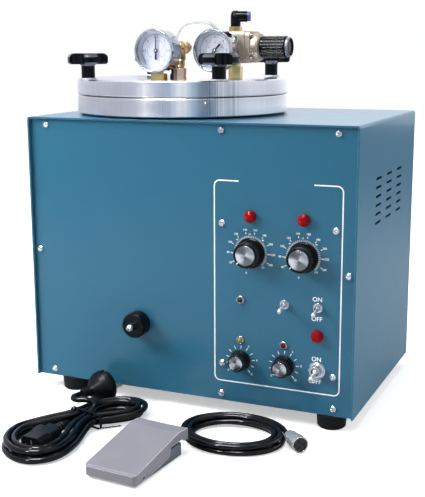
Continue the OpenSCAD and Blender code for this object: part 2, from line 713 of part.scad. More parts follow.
// The push-in elbow on top of the regulator: body, arm and its release ring
elbow_foot = reg_z + reg_w / 2 + 5;
elbow_arm_z = 11;
tube_bore_r = 3.05;
module inlet_elbow() color("#1a1b1e") on_lid(reg_at) translate([0, 0, elbow_foot])
    rotate([0, 0, elbow_turn]) difference() {
        union() {
            turned([[3.95, 0], [5.6, 0], [5.6, elbow_arm_z + 1], [4.6, elbow_arm_z + 5],
                    [2.6, elbow_arm_z + 6.4], [0, elbow_arm_z + 6.6], [0, 3.6], [3.95, 3.6]]);
            translate([0, 0, elbow_arm_z]) rotate([0, 90, 0]) cylinder(r = 5.9, h = 13);
            translate([0, 0, elbow_arm_z]) rotate([0, 90, 0]) cylinder(r = 5.1, h = 16.5);
        }
        translate([3, 0, elbow_arm_z]) rotate([0, 90, 0]) cylinder(r = tube_bore_r, h = 30);
    }

// The brass elbow of the vacuum line: nut, riser and arm with a hose tail
vac_arm_z = reg_z;
vac_arm_len = 30;
module vacuum_elbow() color("#b97a48") on_lid(vac_elbow_at) difference() {
    union() {
        hex(12, 12.5);
        translate([0, 0, 12.5 - eps]) turned([[0, 0], [4.4, 0], [5.4, 3.4], [5.4, 8], [6.4, 9.5],
            [6.4, vac_arm_z - 12.5], [0, vac_arm_z - 12.5]]);
        translate([0, 0, vac_arm_z]) sphere(r = 6.8);
        translate([0, 0, vac_arm_z]) rotate([0, 90, vac_elbow_turn])
            turned([[0, 0], [6.2, 0], [6.2, 14], [7.2, 14], [7.2, 18], [4, 18], [4.6, 19],
                    [4, 22], [4.6, 23], [4, 26], [4.6, 27], [3.6, vac_arm_len], [0, vac_arm_len]]);
    }
    translate([0, 0, -1]) cylinder(r = 2.5, h = vac_arm_z + 1, $fn = 32);
    translate([0, 0, vac_arm_z]) rotate([0, 90, vac_elbow_turn])
        cylinder(r = 2.5, h = vac_arm_len + 1, $fn = 32);
}

// Push-in ends of the clear hose: one in the lid, one elbow on the regulator's left port
module hose_fittings() color("#202124") {
    on_lid(hose_fit_at) {
        hex(10, 6);
        cylinder(r = 4.6, h = hose_start[2], $fn = 48);
    }
    on_lid([hose_end[0], hose_end[1]]) {
        translate([0, 0, reg_z]) rotate([0, 90, 0]) cylinder(r = 5, h = 8, $fn = 48);
        translate([0, 0, reg_z]) rotate([0, 90, 0]) cylinder(r = 3.9, h = 8 + 5, $fn = 48);
        translate([0, 0, reg_z]) sphere(r = 5, $fn = 48);
        translate([0, 0, reg_z]) cylinder(r = 5, h = hose_end[2] - reg_z, $fn = 48);
    }
}

module clear_hose() color("#dfe9ef", 0.5) bench() translate([0, 0, lid_top])
    tube(hose_route, hose_d, 8);

// ---------------------------------------------------------------- control panel

// A fluted knob with a skirt and a turned aluminium cap in its face; bore from below
flute_r = 0.95;
module knob(skirt, skirt_h, body, h, cap, flutes) {
    difference() {
        union() {
            turned([[0, gap], [skirt, gap], [skirt, skirt_h * 0.6], [skirt - 1, skirt_h],
                    [0, skirt_h]]);
            translate([0, 0, skirt_h - eps]) linear_extrude(h - 1 - skirt_h + eps) difference() {
                circle(r = body);
                for (k = [0 : flutes - 1]) rotate(k * 360 / flutes)
                    translate([body + flute_r / 2, 0]) circle(r = flute_r, $fn = 16);
            }
            translate([0, 0, h - 1 - eps]) turned([[0, 0], [body - 0.6, 0], [body - 0.6, 0.4],
                [body - 1.4, 1 + eps], [0, 1 + eps]]);
        }
        translate([0, 0, h - 0.9]) cylinder(r = cap + slip, h = 2);
        translate([0, 0, -1]) cylinder(r = shaft_r + slip, h = h - 2.9, $fn = 48);
        // The pointer notch in the skirt's edge, towards the lower left
        rotate([0, 0, pointer_angle]) translate([skirt, 0, skirt_h * 0.6])
            cube([pointer_notch, 0.9, 6], center = true);
    }
    translate([0, 0, h - 0.85]) turned([[0, 0], [cap, 0], [cap, 0.7], [cap - 0.4, 1.1],
        [0, 1.1]]);
}

pointer_angle = 225;
pointer_notch = 1;
dial_body_r = 13.6;
dial_cap_r = 10.65;
timer_body_r = 9.7;
timer_cap_r = 7.8;
module dial_knob(i) on_panel(dial_at[i])
    knob(dial_skirt_r, 2.6, dial_body_r, dial_h, dial_cap_r, 24);
module timer_knob(i) on_panel(timer_at[i])
    knob(timer_skirt_r, 2.2, timer_body_r, timer_h, timer_cap_r, 20);

module pot_temp_knob() color("#1b1c1f") dial_knob(0);
module valve_temp_knob() color("#1b1c1f") dial_knob(1);
module vacuum_time_knob() color("#1b1c1f") timer_knob(0);
module injection_time_knob() color("#1b1c1f") timer_knob(1);

// Toggle switches: [bush radius, bush length in front, lever length]
toggle_bush_r = 3.1;
toggle_out = 6;
toggle_lever = 12.5;
toggle_mouth_r = 2.3;
power_bush_r = 5.9;
power_out = 8;
power_lever_len = 14;
power_mouth_r = 3.9;
lever_pivot_in = 3;

// A tapered bat on a ball that pivots inside its bush; it hangs below the level
module bat_lever(at, out, mouth_r, root_r, tip_r, length) on_panel(at)
    translate([0, 0, out - lever_pivot_in]) rotate([toggle_tilt, 0, 0]) {
        sphere(r = mouth_r - gap);
        turned([[0, 0], [root_r, 0], [root_r, lever_pivot_in + 1],
                [tip_r * 0.8, lever_pivot_in + length * 0.45],
                [tip_r, lever_pivot_in + length * 0.72], [tip_r, lever_pivot_in + length - 1.6],
                [tip_r - 0.5, lever_pivot_in + length - 0.5],
                [tip_r - 1.3, lever_pivot_in + length], [0, lever_pivot_in + length]]);
    }

module toggle(i) bat_lever(toggle_at[i], toggle_out, toggle_mouth_r, 1, 2.2, toggle_lever);
module auto_lever() color("#dcdfe2") toggle(0);
module vacuum_lever() color("#dcdfe2") toggle(1);
module power_lever() color("#dcdfe2")
    bat_lever(power_at, power_out, power_mouth_r, 1.6, 3.2, power_lever_len);

// The switch behind the panel, its bush through it and three solder lugs
module switch_body(bush_r, out, w, h, depth, mouth) difference() {
    union() {
        translate([0, 0, -sheet_t - depth / 2]) cube([w, h, depth], center = true);
        translate([0, 0, -sheet_t - 0.5]) cylinder(r = bush_r, h = sheet_t + 0.5 + out, $fn = 48);
        for (y = [-h / 3, 0, h / 3]) translate([0, y, -sheet_t - depth - 2.4])
            cube([w * 0.4, 0.8, 5], center = true);
    }
    translate([0, 0, out - lever_pivot_in - mouth - 0.5]) cylinder(r = mouth, h = 20, $fn = 48);
}

module switch_bodies() color("#b9bcc0") {
    for (p = toggle_at) on_panel(p) 
        switch_body(toggle_bush_r, toggle_out, 8, 13, 10, toggle_mouth_r);
    on_panel(power_at) switch_body(power_bush_r, power_out, 18, 28, 16, power_mouth_r);
}

module switch_nuts() color("#c9ccd0") {
    for (p = toggle_at) on_panel(p) difference() {
        union() {
            translate([0, 0, slip]) cylinder(r = 5, h = 0.6);
            translate([0, 0, 0.6]) hex(8, 2.2);
        }
        cylinder(r = toggle_bush_r + slip, h = 20, center = true, $fn = 48);
    }
    on_panel(power_at) difference() {
        union() {
            translate([0, 0, slip]) cylinder(r = 9, h = 0.8);
            translate([0, 0, 0.8]) turned([[0, 0], [8.2, 0], [8.2, 1.8], [7.2, 2.8], [0, 2.8]]);
        }
        cylinder(r = power_bush_r + slip, h = 20, center = true, $fn = 48);
        for (a = [0 : 90 : 270]) rotate([0, 0, a]) translate([8.6, 0, 3])
            cube([3, 2.4, 3], center = true);
    }
}

lamp_neck_r = 5.2;
lamp_r = 6.6;
module neon_lamps() color("#b3161c") for (p = lamp_at) on_panel(p) turned([
    [0, -sheet_t - 14], [lamp_neck_r - 0.6, -sheet_t - 14], [lamp_neck_r, -sheet_t - 1],
    [lamp_neck_r, 0.02], [lamp_r, 0.02], [lamp_r, 2], [lamp_r - 0.4, 3.6], [lamp_r - 1.5, 5.4],
    [lamp_r - 3.2, 6.7], [lamp_r - 5, 7.2], [0, 7.3]]);

led_neck_r = 3.6;
led_rim_r = 4.8;
led_r = 2.6;
module indicator_leds() color("#20241f") for (p = led_at) on_panel(p) {
    difference() {
        turned([[0, -sheet_t - 6], [led_neck_r, -sheet_t - 6], [led_neck_r, 0.02],
                [led_rim_r, 0.02], [led_rim_r, 1.2], [led_rim_r - 1, 2], [0, 2]]);
        translate([0, 0, -1]) cylinder(r = led_r + slip, h = 10, $fn = 32);
    }
    turned([[0, -0.9], [led_r, -0.9], [led_r, 1.7], [led_r * 0.8, 2.7], [led_r * 0.45, 3.3],
            [0, 3.5]]);
}

// The board behind the panel: standoffs, potentiometers with their shafts, relays
pot_body_r = 8;
module control_board() color("#2f6b3f") {
    on_panel([0, 0]) difference() {
        union() {
            translate([37, 34, -sheet_t - board_gap - board_t]) cube([137, 170, board_t]);
            for (p = board_screw_at) translate([p[0], p[1], -sheet_t - board_gap - 0.01])
                cylinder(r = standoff_r, h = board_gap - 0.02, $fn = 32);
        }
        screw_holes(board_screw_at, screw_hole_r, 60);
        // Windows round what reaches back through the board
        screw_holes(lamp_at, lamp_neck_r + 1.5, 60);
        for (p = concat(toggle_at, [power_at])) translate([p[0], p[1], 0])
            cube([p == power_at ? 21 : 11, p == power_at ? 31 : 16, 80], center = true);
    }
    for (p = concat(dial_at, timer_at)) on_panel(p) {
        translate([0, 0, -sheet_t - board_gap - 0.01]) cylinder(r = pot_body_r, h = 8, $fn = 48);
        translate([0, 0, -sheet_t - 5]) cylinder(r = shaft_r + 0.9, h = 6.9, $fn = 48);
        cylinder(r = shaft_r, h = timer_h - 4.6, $fn = 48);
    }
    for (x = [86, 122], z = [136]) on_panel([x, z])
        translate([0, 0, -sheet_t - board_gap - board_t - 7.9]) cube([28, 12, 16], center = true);
    on_panel([62, 90]) translate([0, 0, -sheet_t - board_gap - board_t - 14.9])
        cube([32, 28, 30], center = true);
}

// ---------------------------------------------------------------- nozzle

module valve_block() color("#c08f45") difference() {
    bench() translate([pot_x - block_w / 2, panel_back + 0.5, nozzle_h - block_w / 2])
        cube([block_w, boss_face_y - panel_back - 0.52, block_w]);
    on_panel([pot_x, nozzle_z]) cylinder(r = wax_way_r, h = 300, center = true, $fn = 48);
}

module nozzle_collar() color("#17181a") on_panel([pot_x, nozzle_z]) difference() {
    union() {
        turned([[0, 0], [collar_r, 0], [collar_r, collar_out + panel_recess - 3],
                [collar_r - 0.6, collar_out + panel_recess - 1.2],
                [collar_r - 2, collar_out + panel_recess],
                [0, collar_out + panel_recess]]);
        translate([0, 0, -sheet_t - 0.5]) cylinder(r = collar_neck_r, h = sheet_t + 1);
    }
    cylinder(r = tip_hole_r, h = 80, center = true, $fn = 48);
}

tip_end = panel_recess + collar_out + tip_out;
module nozzle_tip() color("#d9dbdd") on_panel([pot_x, nozzle_z]) difference() {
    turned([[0, -sheet_t - 0.5], [tip_r, -sheet_t - 0.5], [tip_r, tip_end - 4.5],
            [tip_r - 0.8, tip_end - 2.2], [tip_r - 2.2, tip_end - 0.5],
            [tip_r - 2.8, tip_end], [0, tip_end]]);
    translate([0, 0, -10]) cylinder(r = orifice_r, h = 60, $fn = 24);
    translate([0, 0, -10]) cylinder(r = 2.4, h = 10 + tip_end - 8, $fn = 24);
    translate([0, 0, tip_end]) cube([20, 1.1, 3.4], center = true);
}

// ---------------------------------------------------------------- rear fittings

inlet_flange_t = 2.6;
inlet_depth = 24;
inlet_recess = [24.6, 16.8, 17];
inlet_pin_len = 12;
module power_inlet() color("#1b1c1e") on_rear(inlet_at) {
    difference() {
        union() {
            linear_extrude(inlet_flange_t) round_rect(inlet_flange[0], inlet_flange[1], 4);
            translate([0, 0, -inlet_depth]) linear_extrude(inlet_depth + 1)
                round_rect(inlet_body[0], inlet_body[1], 2);
        }
        translate([0, 0, inlet_flange_t - inlet_recess[2]]) linear_extrude(40) difference() {
            square([inlet_recess[0], inlet_recess[1]], center = true);
            for (s = [-1, 1]) translate([s * inlet_recess[0] / 2, inlet_recess[1] / 2])
                rotate([0, 0, 45]) square([5, 5], center = true);
        }
        for (s = [-1, 1]) translate([s * inlet_screw_x, 0, -5])
            cylinder(r = 1.75 + screw_r - 1.65, h = 20, $fn = 24);
    }
    // Two live pins and the earth pin above them
    for (p = [[-7, -2], [7, -2], [0, 2]])
        translate([p[0] - 1, p[1] - 2, inlet_flange_t - inlet_recess[2] - 8])
            cube([2, 4, inlet_pin_len + 8]);
}

socket_thread_r = 7.9;
socket_bore_r = 6.6;
module pedal_socket() color("#b7babd") on_rear(socket_at) {
    difference() {
        union() {
            translate([0, 0, -14]) cylinder(r = socket_thread_r, h = 20);
            translate([0, 0, slip]) cylinder(r = 10.2, h = 2.2);
            translate([0, 0, -sheet_t - 3]) hex(19, 2.9);
        }
        translate([0, 0, -3]) cylinder(r = socket_bore_r, h = 20);
    }
    for (a = [90, 210, 330]) rotate([0, 0, a]) translate([3, 0, -4])
        cylinder(r = 0.8, h = 5, $fn = 16);
}

port_thread_r = 5.9;
module vacuum_port() color("#b8923c") on_rear(port_at) difference() {
    union() {
        translate([0, 0, -12]) cylinder(r = port_thread_r, h = 14);
        translate([0, 0, slip]) hex(17, 5);
        translate([0, 0, -sheet_t - 3.2]) hex(17, 3.1);
        turned([[0, 4], [4, 4], [4, port_barb_out + panel_recess - 9],
                [4.8, port_barb_out + panel_recess - 8.6], [4, port_barb_out + panel_recess - 5],
                [4.8, port_barb_out + panel_recess - 4.6],
                [3.4, port_barb_out + panel_recess], [0, port_barb_out + panel_recess]]);
    }
    translate([0, 0, -20]) cylinder(r = 2.5, h = 60, $fn = 32);
}

// ---------------------------------------------------------------- pedal

// The pedal's own frame: x from its right side, y back from its front, z up
module on_pedal() bench() translate([pedal_x, -pedal_out, 0]) rotate([0, 0, -pedal_turn])
    children();

// A side profile of [y, z] points, carried across the pedal between two x values
module across(x0, x1, points) translate([x0, 0, 0]) rotate([90, 0, 90])
    linear_extrude(x1 - x0) polygon(points);

pin_at = [14, 5.6];
pin_r = 2;
crease_y = pedal_len - 20;
base_len = pedal_len - 11;
base_gap = 0.7;
base_in = pedal_wall + base_gap;
treadle_front_z = 13;
treadle_crease_z = 26.6;
treadle_rear_z = 25.8;
lip_z = 14.3;
module pedal_treadle() color("#8f909c") on_pedal() difference() {
    intersection() {
        across(-pedal_w, 0, [
            [0, 2.6], [0, treadle_front_z - 1.6], [1.6, treadle_front_z],
            [crease_y, treadle_crease_z], [pedal_len - 4, treadle_rear_z],
            [pedal_len - 1.2, treadle_rear_z - 1.3], [pedal_len, treadle_rear_z - 4],
            [pedal_len, lip_z], [pedal_len - 9, lip_z], [pedal_len - 13, lip_z + 3],
            [crease_y - 15, lip_z + 3], [crease_y - 17, 9], [18, 2.6]]);
        translate([-pedal_w / 2, pedal_len / 2, 0]) linear_extrude(60)
            round_rect(pedal_w, pedal_len, pedal_corner_r);
    }
    across(-pedal_w + pedal_wall, -pedal_wall, [
        [pedal_wall, 0], [pedal_wall, treadle_front_z - pedal_wall + 0.2],
        [crease_y, treadle_crease_z - pedal_wall],
        [pedal_len - pedal_wall, treadle_rear_z - pedal_wall], [pedal_len - pedal_wall, 0]]);
    pin_hole(pin_r + slip);
}

module pin_hole(r) translate([-pedal_w - 1, pin_at[0], pin_at[1]]) rotate([0, 90, 0])
    cylinder(r = r, h = pedal_w + 2, $fn = 48);

// The base tray: low at the front, higher at the rear, with bosses for the pin
module base_profile(x0, x1, t, low) across(x0, x1, [
    [base_in + 1 + t, low], [base_in + 1 + t, 8.6], [26, 9.4], [60, 12], [base_len - t, 12.7],
    [base_len - t, low]]);

gland_x = -20;
gland_z = 3.2;
gland_out = 6;
module pedal_base() color("#6f7680") on_pedal() difference() {
    union() {
        base_profile(-pedal_w + base_in, -base_in, 0, 0);
        translate([gland_x, base_len - 1, gland_z + 1.2]) rotate([-90, 0, 0])
            turned([[0, 0], [4.4, 0], [4, gland_out + 1], [0, gland_out + 1]]);
    }
    difference() {
        translate([0, 0, 2]) base_profile(-pedal_w + base_in + 2.4, -base_in - 2.4, 2.4, 0);
        translate([-pedal_w / 2, pin_at[0], 0]) cube([pedal_w, 9, 30], center = true);
    }
    pin_hole(pin_r + slip);
    translate([gland_x, base_len - 12, gland_z]) rotate([-90, 0, 0])
        cylinder(r = pedal_cord_d / 2 + slip, h = 12 + gland_out + 1, $fn = 48);
}

module pedal_pin() color("#b9bcc0") on_pedal() translate([-pedal_w + 0.3, pin_at[0], pin_at[1]])
    rotate([0, 90, 0]) cylinder(r = pin_r, h = pedal_w - 0.6, $fn = 48);

// The microswitch on the tray's floor, its plunger under the treadle's top
switch_plunger = 4;
module pedal_switch() color("#26282b") on_pedal() {
    translate([-pedal_w / 2 - 10, 48, 2.02]) cube([20, 10, 9.5]);
    translate([-pedal_w / 2, 53, 11]) cylinder(r = 1.6, h = switch_plunger, $fn = 24);
}

// ---------------------------------------------------------------- pedal lead

// The gland's mouth and its direction on the bench
function pedal_point(x, y, z) = [
    pedal_x + x * cos(pedal_turn) + y * sin(pedal_turn),
    -pedal_out - x * sin(pedal_turn) + y * cos(pedal_turn), z];

// The coil: an ellipse that winds in on the bench and out again on top
coil_mid = [81, -57];
coil_rx = 55;
coil_ry = 45;
coil_turns = 4.44;
coil_step = pedal_cord_d + 0.85;
coil_lift = pedal_cord_d + 0.75;
coil_start = 184;
coil_low_z = pedal_cord_d / 2;
function coil_depth(t) = coil_step * (coil_turns / 2 - abs(t - coil_turns / 2));
function climb(t, from, to) = let (u = min(1, max(0, (t - from) / (to - from))))
    u * u * (3 - 2 * u);
function coil_height(t) = coil_low_z
    + coil_lift * climb(t, coil_turns / 2 - 0.3, coil_turns / 2 + 0.3);
function coil_point(t) = let (a = coil_start - 360 * t, k = coil_depth(t)) [
    coil_mid[0] + (coil_rx - k) * cos(a), coil_mid[1] + (coil_ry - k) * sin(a),
    coil_height(t)];
coil_rings = 24;
coil_body = [for (i = [0 : floor(coil_turns * coil_rings)]) coil_point(i / coil_rings)];
// Both ends run straight for one diameter before they meet what they join
coil_in = unit(coil_body[1] - coil_body[0]);
coil_first = coil_body[0] - pedal_cord_d * [coil_in[0], coil_in[1], 0];
coil_last = coil_body[len(coil_body) - 1];
plug_dir = unit([cos(-46), sin(-46), 0]);
coil_exit = coil_last + [6.5, -9.5, 0.3];
coil_route = concat([coil_first], coil_body,
    [coil_exit, coil_exit + pedal_cord_d * plug_dir]);
echo(pedal_coil_gap = far_apart(coil_route, pedal_cord_d, 14));

module pedal_cord_coil() color("#16171a") bench() tube(coil_route, pedal_cord_d, 6);

// The free stretch from the gland to the coil
lead_start = pedal_point(gland_x, base_len - 0.5, gland_z);
lead_dir = [sin(pedal_turn), cos(pedal_turn), 0];
lead_route = concat(
    [lead_start, lead_start + (gland_out + 2) * lead_dir],
    [[30.5, -96, 3], [28, -86, 2.7], [25, -76, 2.65]],
    [coil_first - pedal_cord_d * [coil_in[0], coil_in[1], 0], coil_first]);
module pedal_cord_lead() color("#16171a") bench() tube(smooth(lead_route, 3), pedal_cord_d, 8);

// The screw-ring plug: sleeve, knurled ring and the contact insert
plug_at = coil_route[len(coil_route) - 1];
plug_sleeve_len = 17;
plug_ring_len = 11;
module pedal_plug() color("#b7babd") bench() translate(plug_at)
    rotate([0, 0, -46]) rotate([0, 90, 0]) {
        difference() {
            turned([[0, 0], [4.2, 0], [5.6, 2], [5.6, 6], [7, 7.5], [7, plug_sleeve_len],
                    [6.4, plug_sleeve_len + 0.5], [0, plug_sleeve_len + 0.5]]);
            for (s = [-1, 1]) rotate([0, 0, 90 * s]) translate([6.2, 0, 11.5])
                rotate([0, 90, 0]) cylinder(r = 1.3, h = 4, $fn = 24);
        }
        translate([0, 0, plug_sleeve_len]) difference() {
            turned([[0, 0], [8, 0], [plug_ring_r, 1.2], [plug_ring_r, 4], [8.4, 4.8],
                    [8.4, plug_ring_len - 3.4], [plug_ring_r, plug_ring_len - 2.6],
                    [plug_ring_r, plug_ring_len - 0.6], [8.6, plug_ring_len], [0, plug_ring_len]]);
            translate([0, 0, 3]) difference() {
                cylinder(r = 7.6, h = 20);
                cylinder(r = 6.2, h = 7, $fn = 48);
            }
            for (a = [90, 210, 330]) rotate([0, 0, a]) translate([3, 0, 5])
                cylinder(r = 0.9, h = 10, $fn = 16);
        }
    }
plug_ring_r = 8.3;

// ---------------------------------------------------------------- mains lead

// The hank's own frame: s along it from its middle, l across it, bowed to one side
hank_mid = [-68, -106];
hank_turn = 74;
hank_half = 73;
hank_bow = -16;
hank_front_w = 26;
hank_waist_w = 2.2;
hank_rear_w = 12;
hank_waist_s = 20;
hank_step = mains_cord_d + 1.3;
hank_lift = mains_cord_d + 0.7;
hank_loops = 4;
hank_rings = 24;
// One turn starts at the waist's right side and runs round the rear end first
hank_start = 78.55;
hank_crowding = 11.5;
tie_t = 1;
hank_rise = tie_t + 0.2;
function blend(a, b, u) = a + (b - a) * climb(u, 0, 1);
function bow(s) = hank_bow * (1 - pow(s / hank_half, 2));
function hank_place(s, l, z) = let (c = cos(hank_turn), n = sin(hank_turn), q = l + bow(s)) [
    hank_mid[0] + s * c + q * n, hank_mid[1] + s * n - q * c, z];
// Half the width inside the innermost strand, drawn in at the waist
function hank_w(s) = s < hank_waist_s
    ? blend(hank_front_w, hank_waist_w, (s + 50) / (hank_waist_s + 50))
    : blend(hank_waist_w, hank_rear_w, (s - hank_waist_s) / 34);
// The innermost strand, with a round front end and a rounder rear end
function hank_inner(a) =
    let (c = cos(a), s = hank_half * c, power = c > 0 ? 12 : 6)
    hank_place(s, hank_w(s) * sqrt(max(0, 1 - pow(abs(c), power))) * sign(sin(a)), 0);
// The strands lie a step apart outside it; the top layer winds back in
function hank_lane(t) = hank_step * (hank_loops / 2 - abs(t - hank_loops / 2));
// The waist is raised by the tie below it
function waist_rise(s) = hank_rise * (1 - climb(abs(s - hank_waist_s), 6, 40));
function hank_point(t) =
    let (turn = hank_start - 360 * t, a = turn - hank_crowding * sin(2 * turn),
         along = unit(hank_inner(a - 1) - hank_inner(a + 1)), lane = hank_lane(t),
         z = mains_cord_d / 2 + waist_rise(hank_half * cos(a))
             + hank_lift * climb(t, hank_loops / 2 - 0.27, hank_loops / 2 + 0.23))
    hank_inner(a) + [along[1] * lane, -along[0] * lane, z];
hank_body = [for (i = [0 : hank_loops * hank_rings]) hank_point(i / hank_rings)];

// The connector lies inside the front loop, the plug beside the rear end
connector_at = hank_place(-10, -0.5, 8);
connector_dir = unit(hank_place(-64, 0, 8) - connector_at);
plug_tail = [-101.5, -46.2, 18.5];
plug_turn = 70;
hank_route = concat(
    [connector_at, connector_at - mains_cord_d * connector_dir, hank_place(6.5, 1.3, 4.7)],
    hank_body,
    [hank_place(27, 0.6, 13.4), hank_place(33.5, -2, 16.2), hank_place(40, -8.5, 18.2),
     [-88.5, -61.5, 18.6], [-95.5, -65.2, 18.6], [-102.3, -63.2, 18.5], [-104.8, -58, 18.5],
     plug_tail - mains_cord_d * [cos(plug_turn), sin(plug_turn), 0], plug_tail]);
echo(mains_hank_gap = far_apart(hank_route, mains_cord_d, 8));
echo(hank_length = path_length(hank_route), coil_length = path_length(coil_route));

module mains_cord_hank() color("#141517") bench() tube(hank_route, mains_cord_d, 6);

// Local +Z points along a lead's piece, from where the cord enters it
module on_lead(at, azimuth) bench() translate(at) rotate([0, 0, azimuth]) rotate([0, 90, 0])
    children();

// The flat-sided connector: strain relief, grip and the nose with three slots
connector_turn = atan2(connector_dir[1], connector_dir[0]);
module mains_connector() color("#17181b") on_lead(connector_at, connector_turn) difference() {
    union() {
        turned([[0, 0], [4.4, 0], [4.8, 3], [4.3, 3.4], [4.3, 5], [5.1, 5.4], [5.1, 8],
                [4.6, 8.4], [4.6, 10], [5.5, 10.4], [5.5, 13], [5, 13.4], [5, 16], [0, 16]]);
        translate([0, 0, 14]) linear_extrude(10) round_rect(13, 18, 4);
        translate([0, 0, 23]) linear_extrude(14) round_rect(15.6, 25, 2.5);
        translate([0, 0, 36]) linear_extrude(18) difference() {
            square([15.6, 23.4], center = true);
            for (s = [-1, 1]) translate([-7.8, s * 11.7]) rotate([0, 0, 45])
                square([5, 5], center = true);
        }
    }
    for (p = [[2, -7], [2, 7], [-2, 0]]) translate([p[0], p[1], 48])
        cube([5, 2.6, 20], center = true);
}

// The round plug: strain relief, tapered grip and body, recessed face with two pins
module mains_plug() color("#17181b") on_lead(plug_tail, plug_turn) {
    difference() {
        turned([[0, 0], [4.2, 0], [5, 9], [6.5, 12], [9, 14], [14, 19], [17.5, 24],
                [18.5, 28], [18.5, 33], [17.5, 34.5], [16.5, 34.5], [0, 34.5]]);
        translate([0, 0, 33]) cylinder(r = 15.5, h = 5);
        for (s = [-1, 1]) translate([s * 18.6, 0, 32]) cube([5, 5, 10], center = true);
    }
    for (s = [-1, 1]) translate([0, s * 9.5, 30])
        turned([[0, 0], [2.4, 0], [2.4, 16.5], [1.4, 18.5], [0, 19]]);
}

// The twist tie round the waist, with one loose end on the bench
tie_ease = 2.6;
tie_left = hank_waist_w + 1.5 * hank_step + mains_cord_d / 2 + tie_ease;
tie_right = hank_waist_w + 2 * hank_step + mains_cord_d / 2 + tie_ease;
tie_h = hank_rise + hank_lift + mains_cord_d + 2 * gap - tie_t;
tie_w = 3;
tie_end_len = 24;
module cord_tie() color("#141416") bench() {
    translate(hank_place(hank_waist_s, (tie_right - tie_left) / 2, tie_t + tie_h / 2))
        rotate([0, 0, hank_turn - 90]) rotate([90, 0, 0]) linear_extrude(tie_w, center = true)
            difference() {
                round_rect(tie_left + tie_right + 2 * tie_t, tie_h + 2 * tie_t, 4);
                round_rect(tie_left + tie_right, tie_h, 3);
            }
    translate(hank_place(hank_waist_s, tie_right - 3, 0.8)) rotate([0, 0, tie_end_turn])
        rotate([0, 90, 0]) cylinder(r = 0.8, h = tie_end_len, $fn = 24);
}
tie_end_turn = hank_turn - 32;

// ---------------------------------------------------------------- build

cabinet_cover();
front_panel();
rear_panel();
base_plate();
rubber_feet();
panel_screws();
wax_pot();
flange_gasket();
lid_gasket();
heater_band();
pot_lid();
lid_washers();
star_knob_front_right();
star_knob_rear_right();
star_knob_rear_left();
star_knob_front_left();
gauge_cases();
gauge_dials();
gauge_glasses();
gauge_movements();
gauge_sockets();
left_needle();
right_needle();
regulator_body();
regulator_bonnet();
regulator_knob();
regulator_fittings();
inlet_elbow();
vacuum_elbow();
hose_fittings();
clear_hose();
pot_temp_knob();
valve_temp_knob();
vacuum_time_knob();
injection_time_knob();
auto_lever();
vacuum_lever();
power_lever();
switch_bodies();
switch_nuts();
neon_lamps();
indicator_leds();
control_board();
valve_block();
nozzle_collar();
nozzle_tip();
power_inlet();
pedal_socket();
vacuum_port();
pedal_base();
pedal_treadle();
pedal_pin();
pedal_switch();
pedal_cord_lead();
pedal_cord_coil();
pedal_plug();
mains_cord_hank();
mains_connector();
mains_plug();
cord_tie();
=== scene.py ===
"""Dresses the vacuum wax injector: its finishes, printed scales, leads, studio and camera.

Sizes are in millimetres in the bench frame: x from the cabinet's middle, y back from its
front edge, z up from the bench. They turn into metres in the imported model's frame only
where a mesh is made.
"""

import json
import logging
import math
from dataclasses import dataclass
from enum import Enum

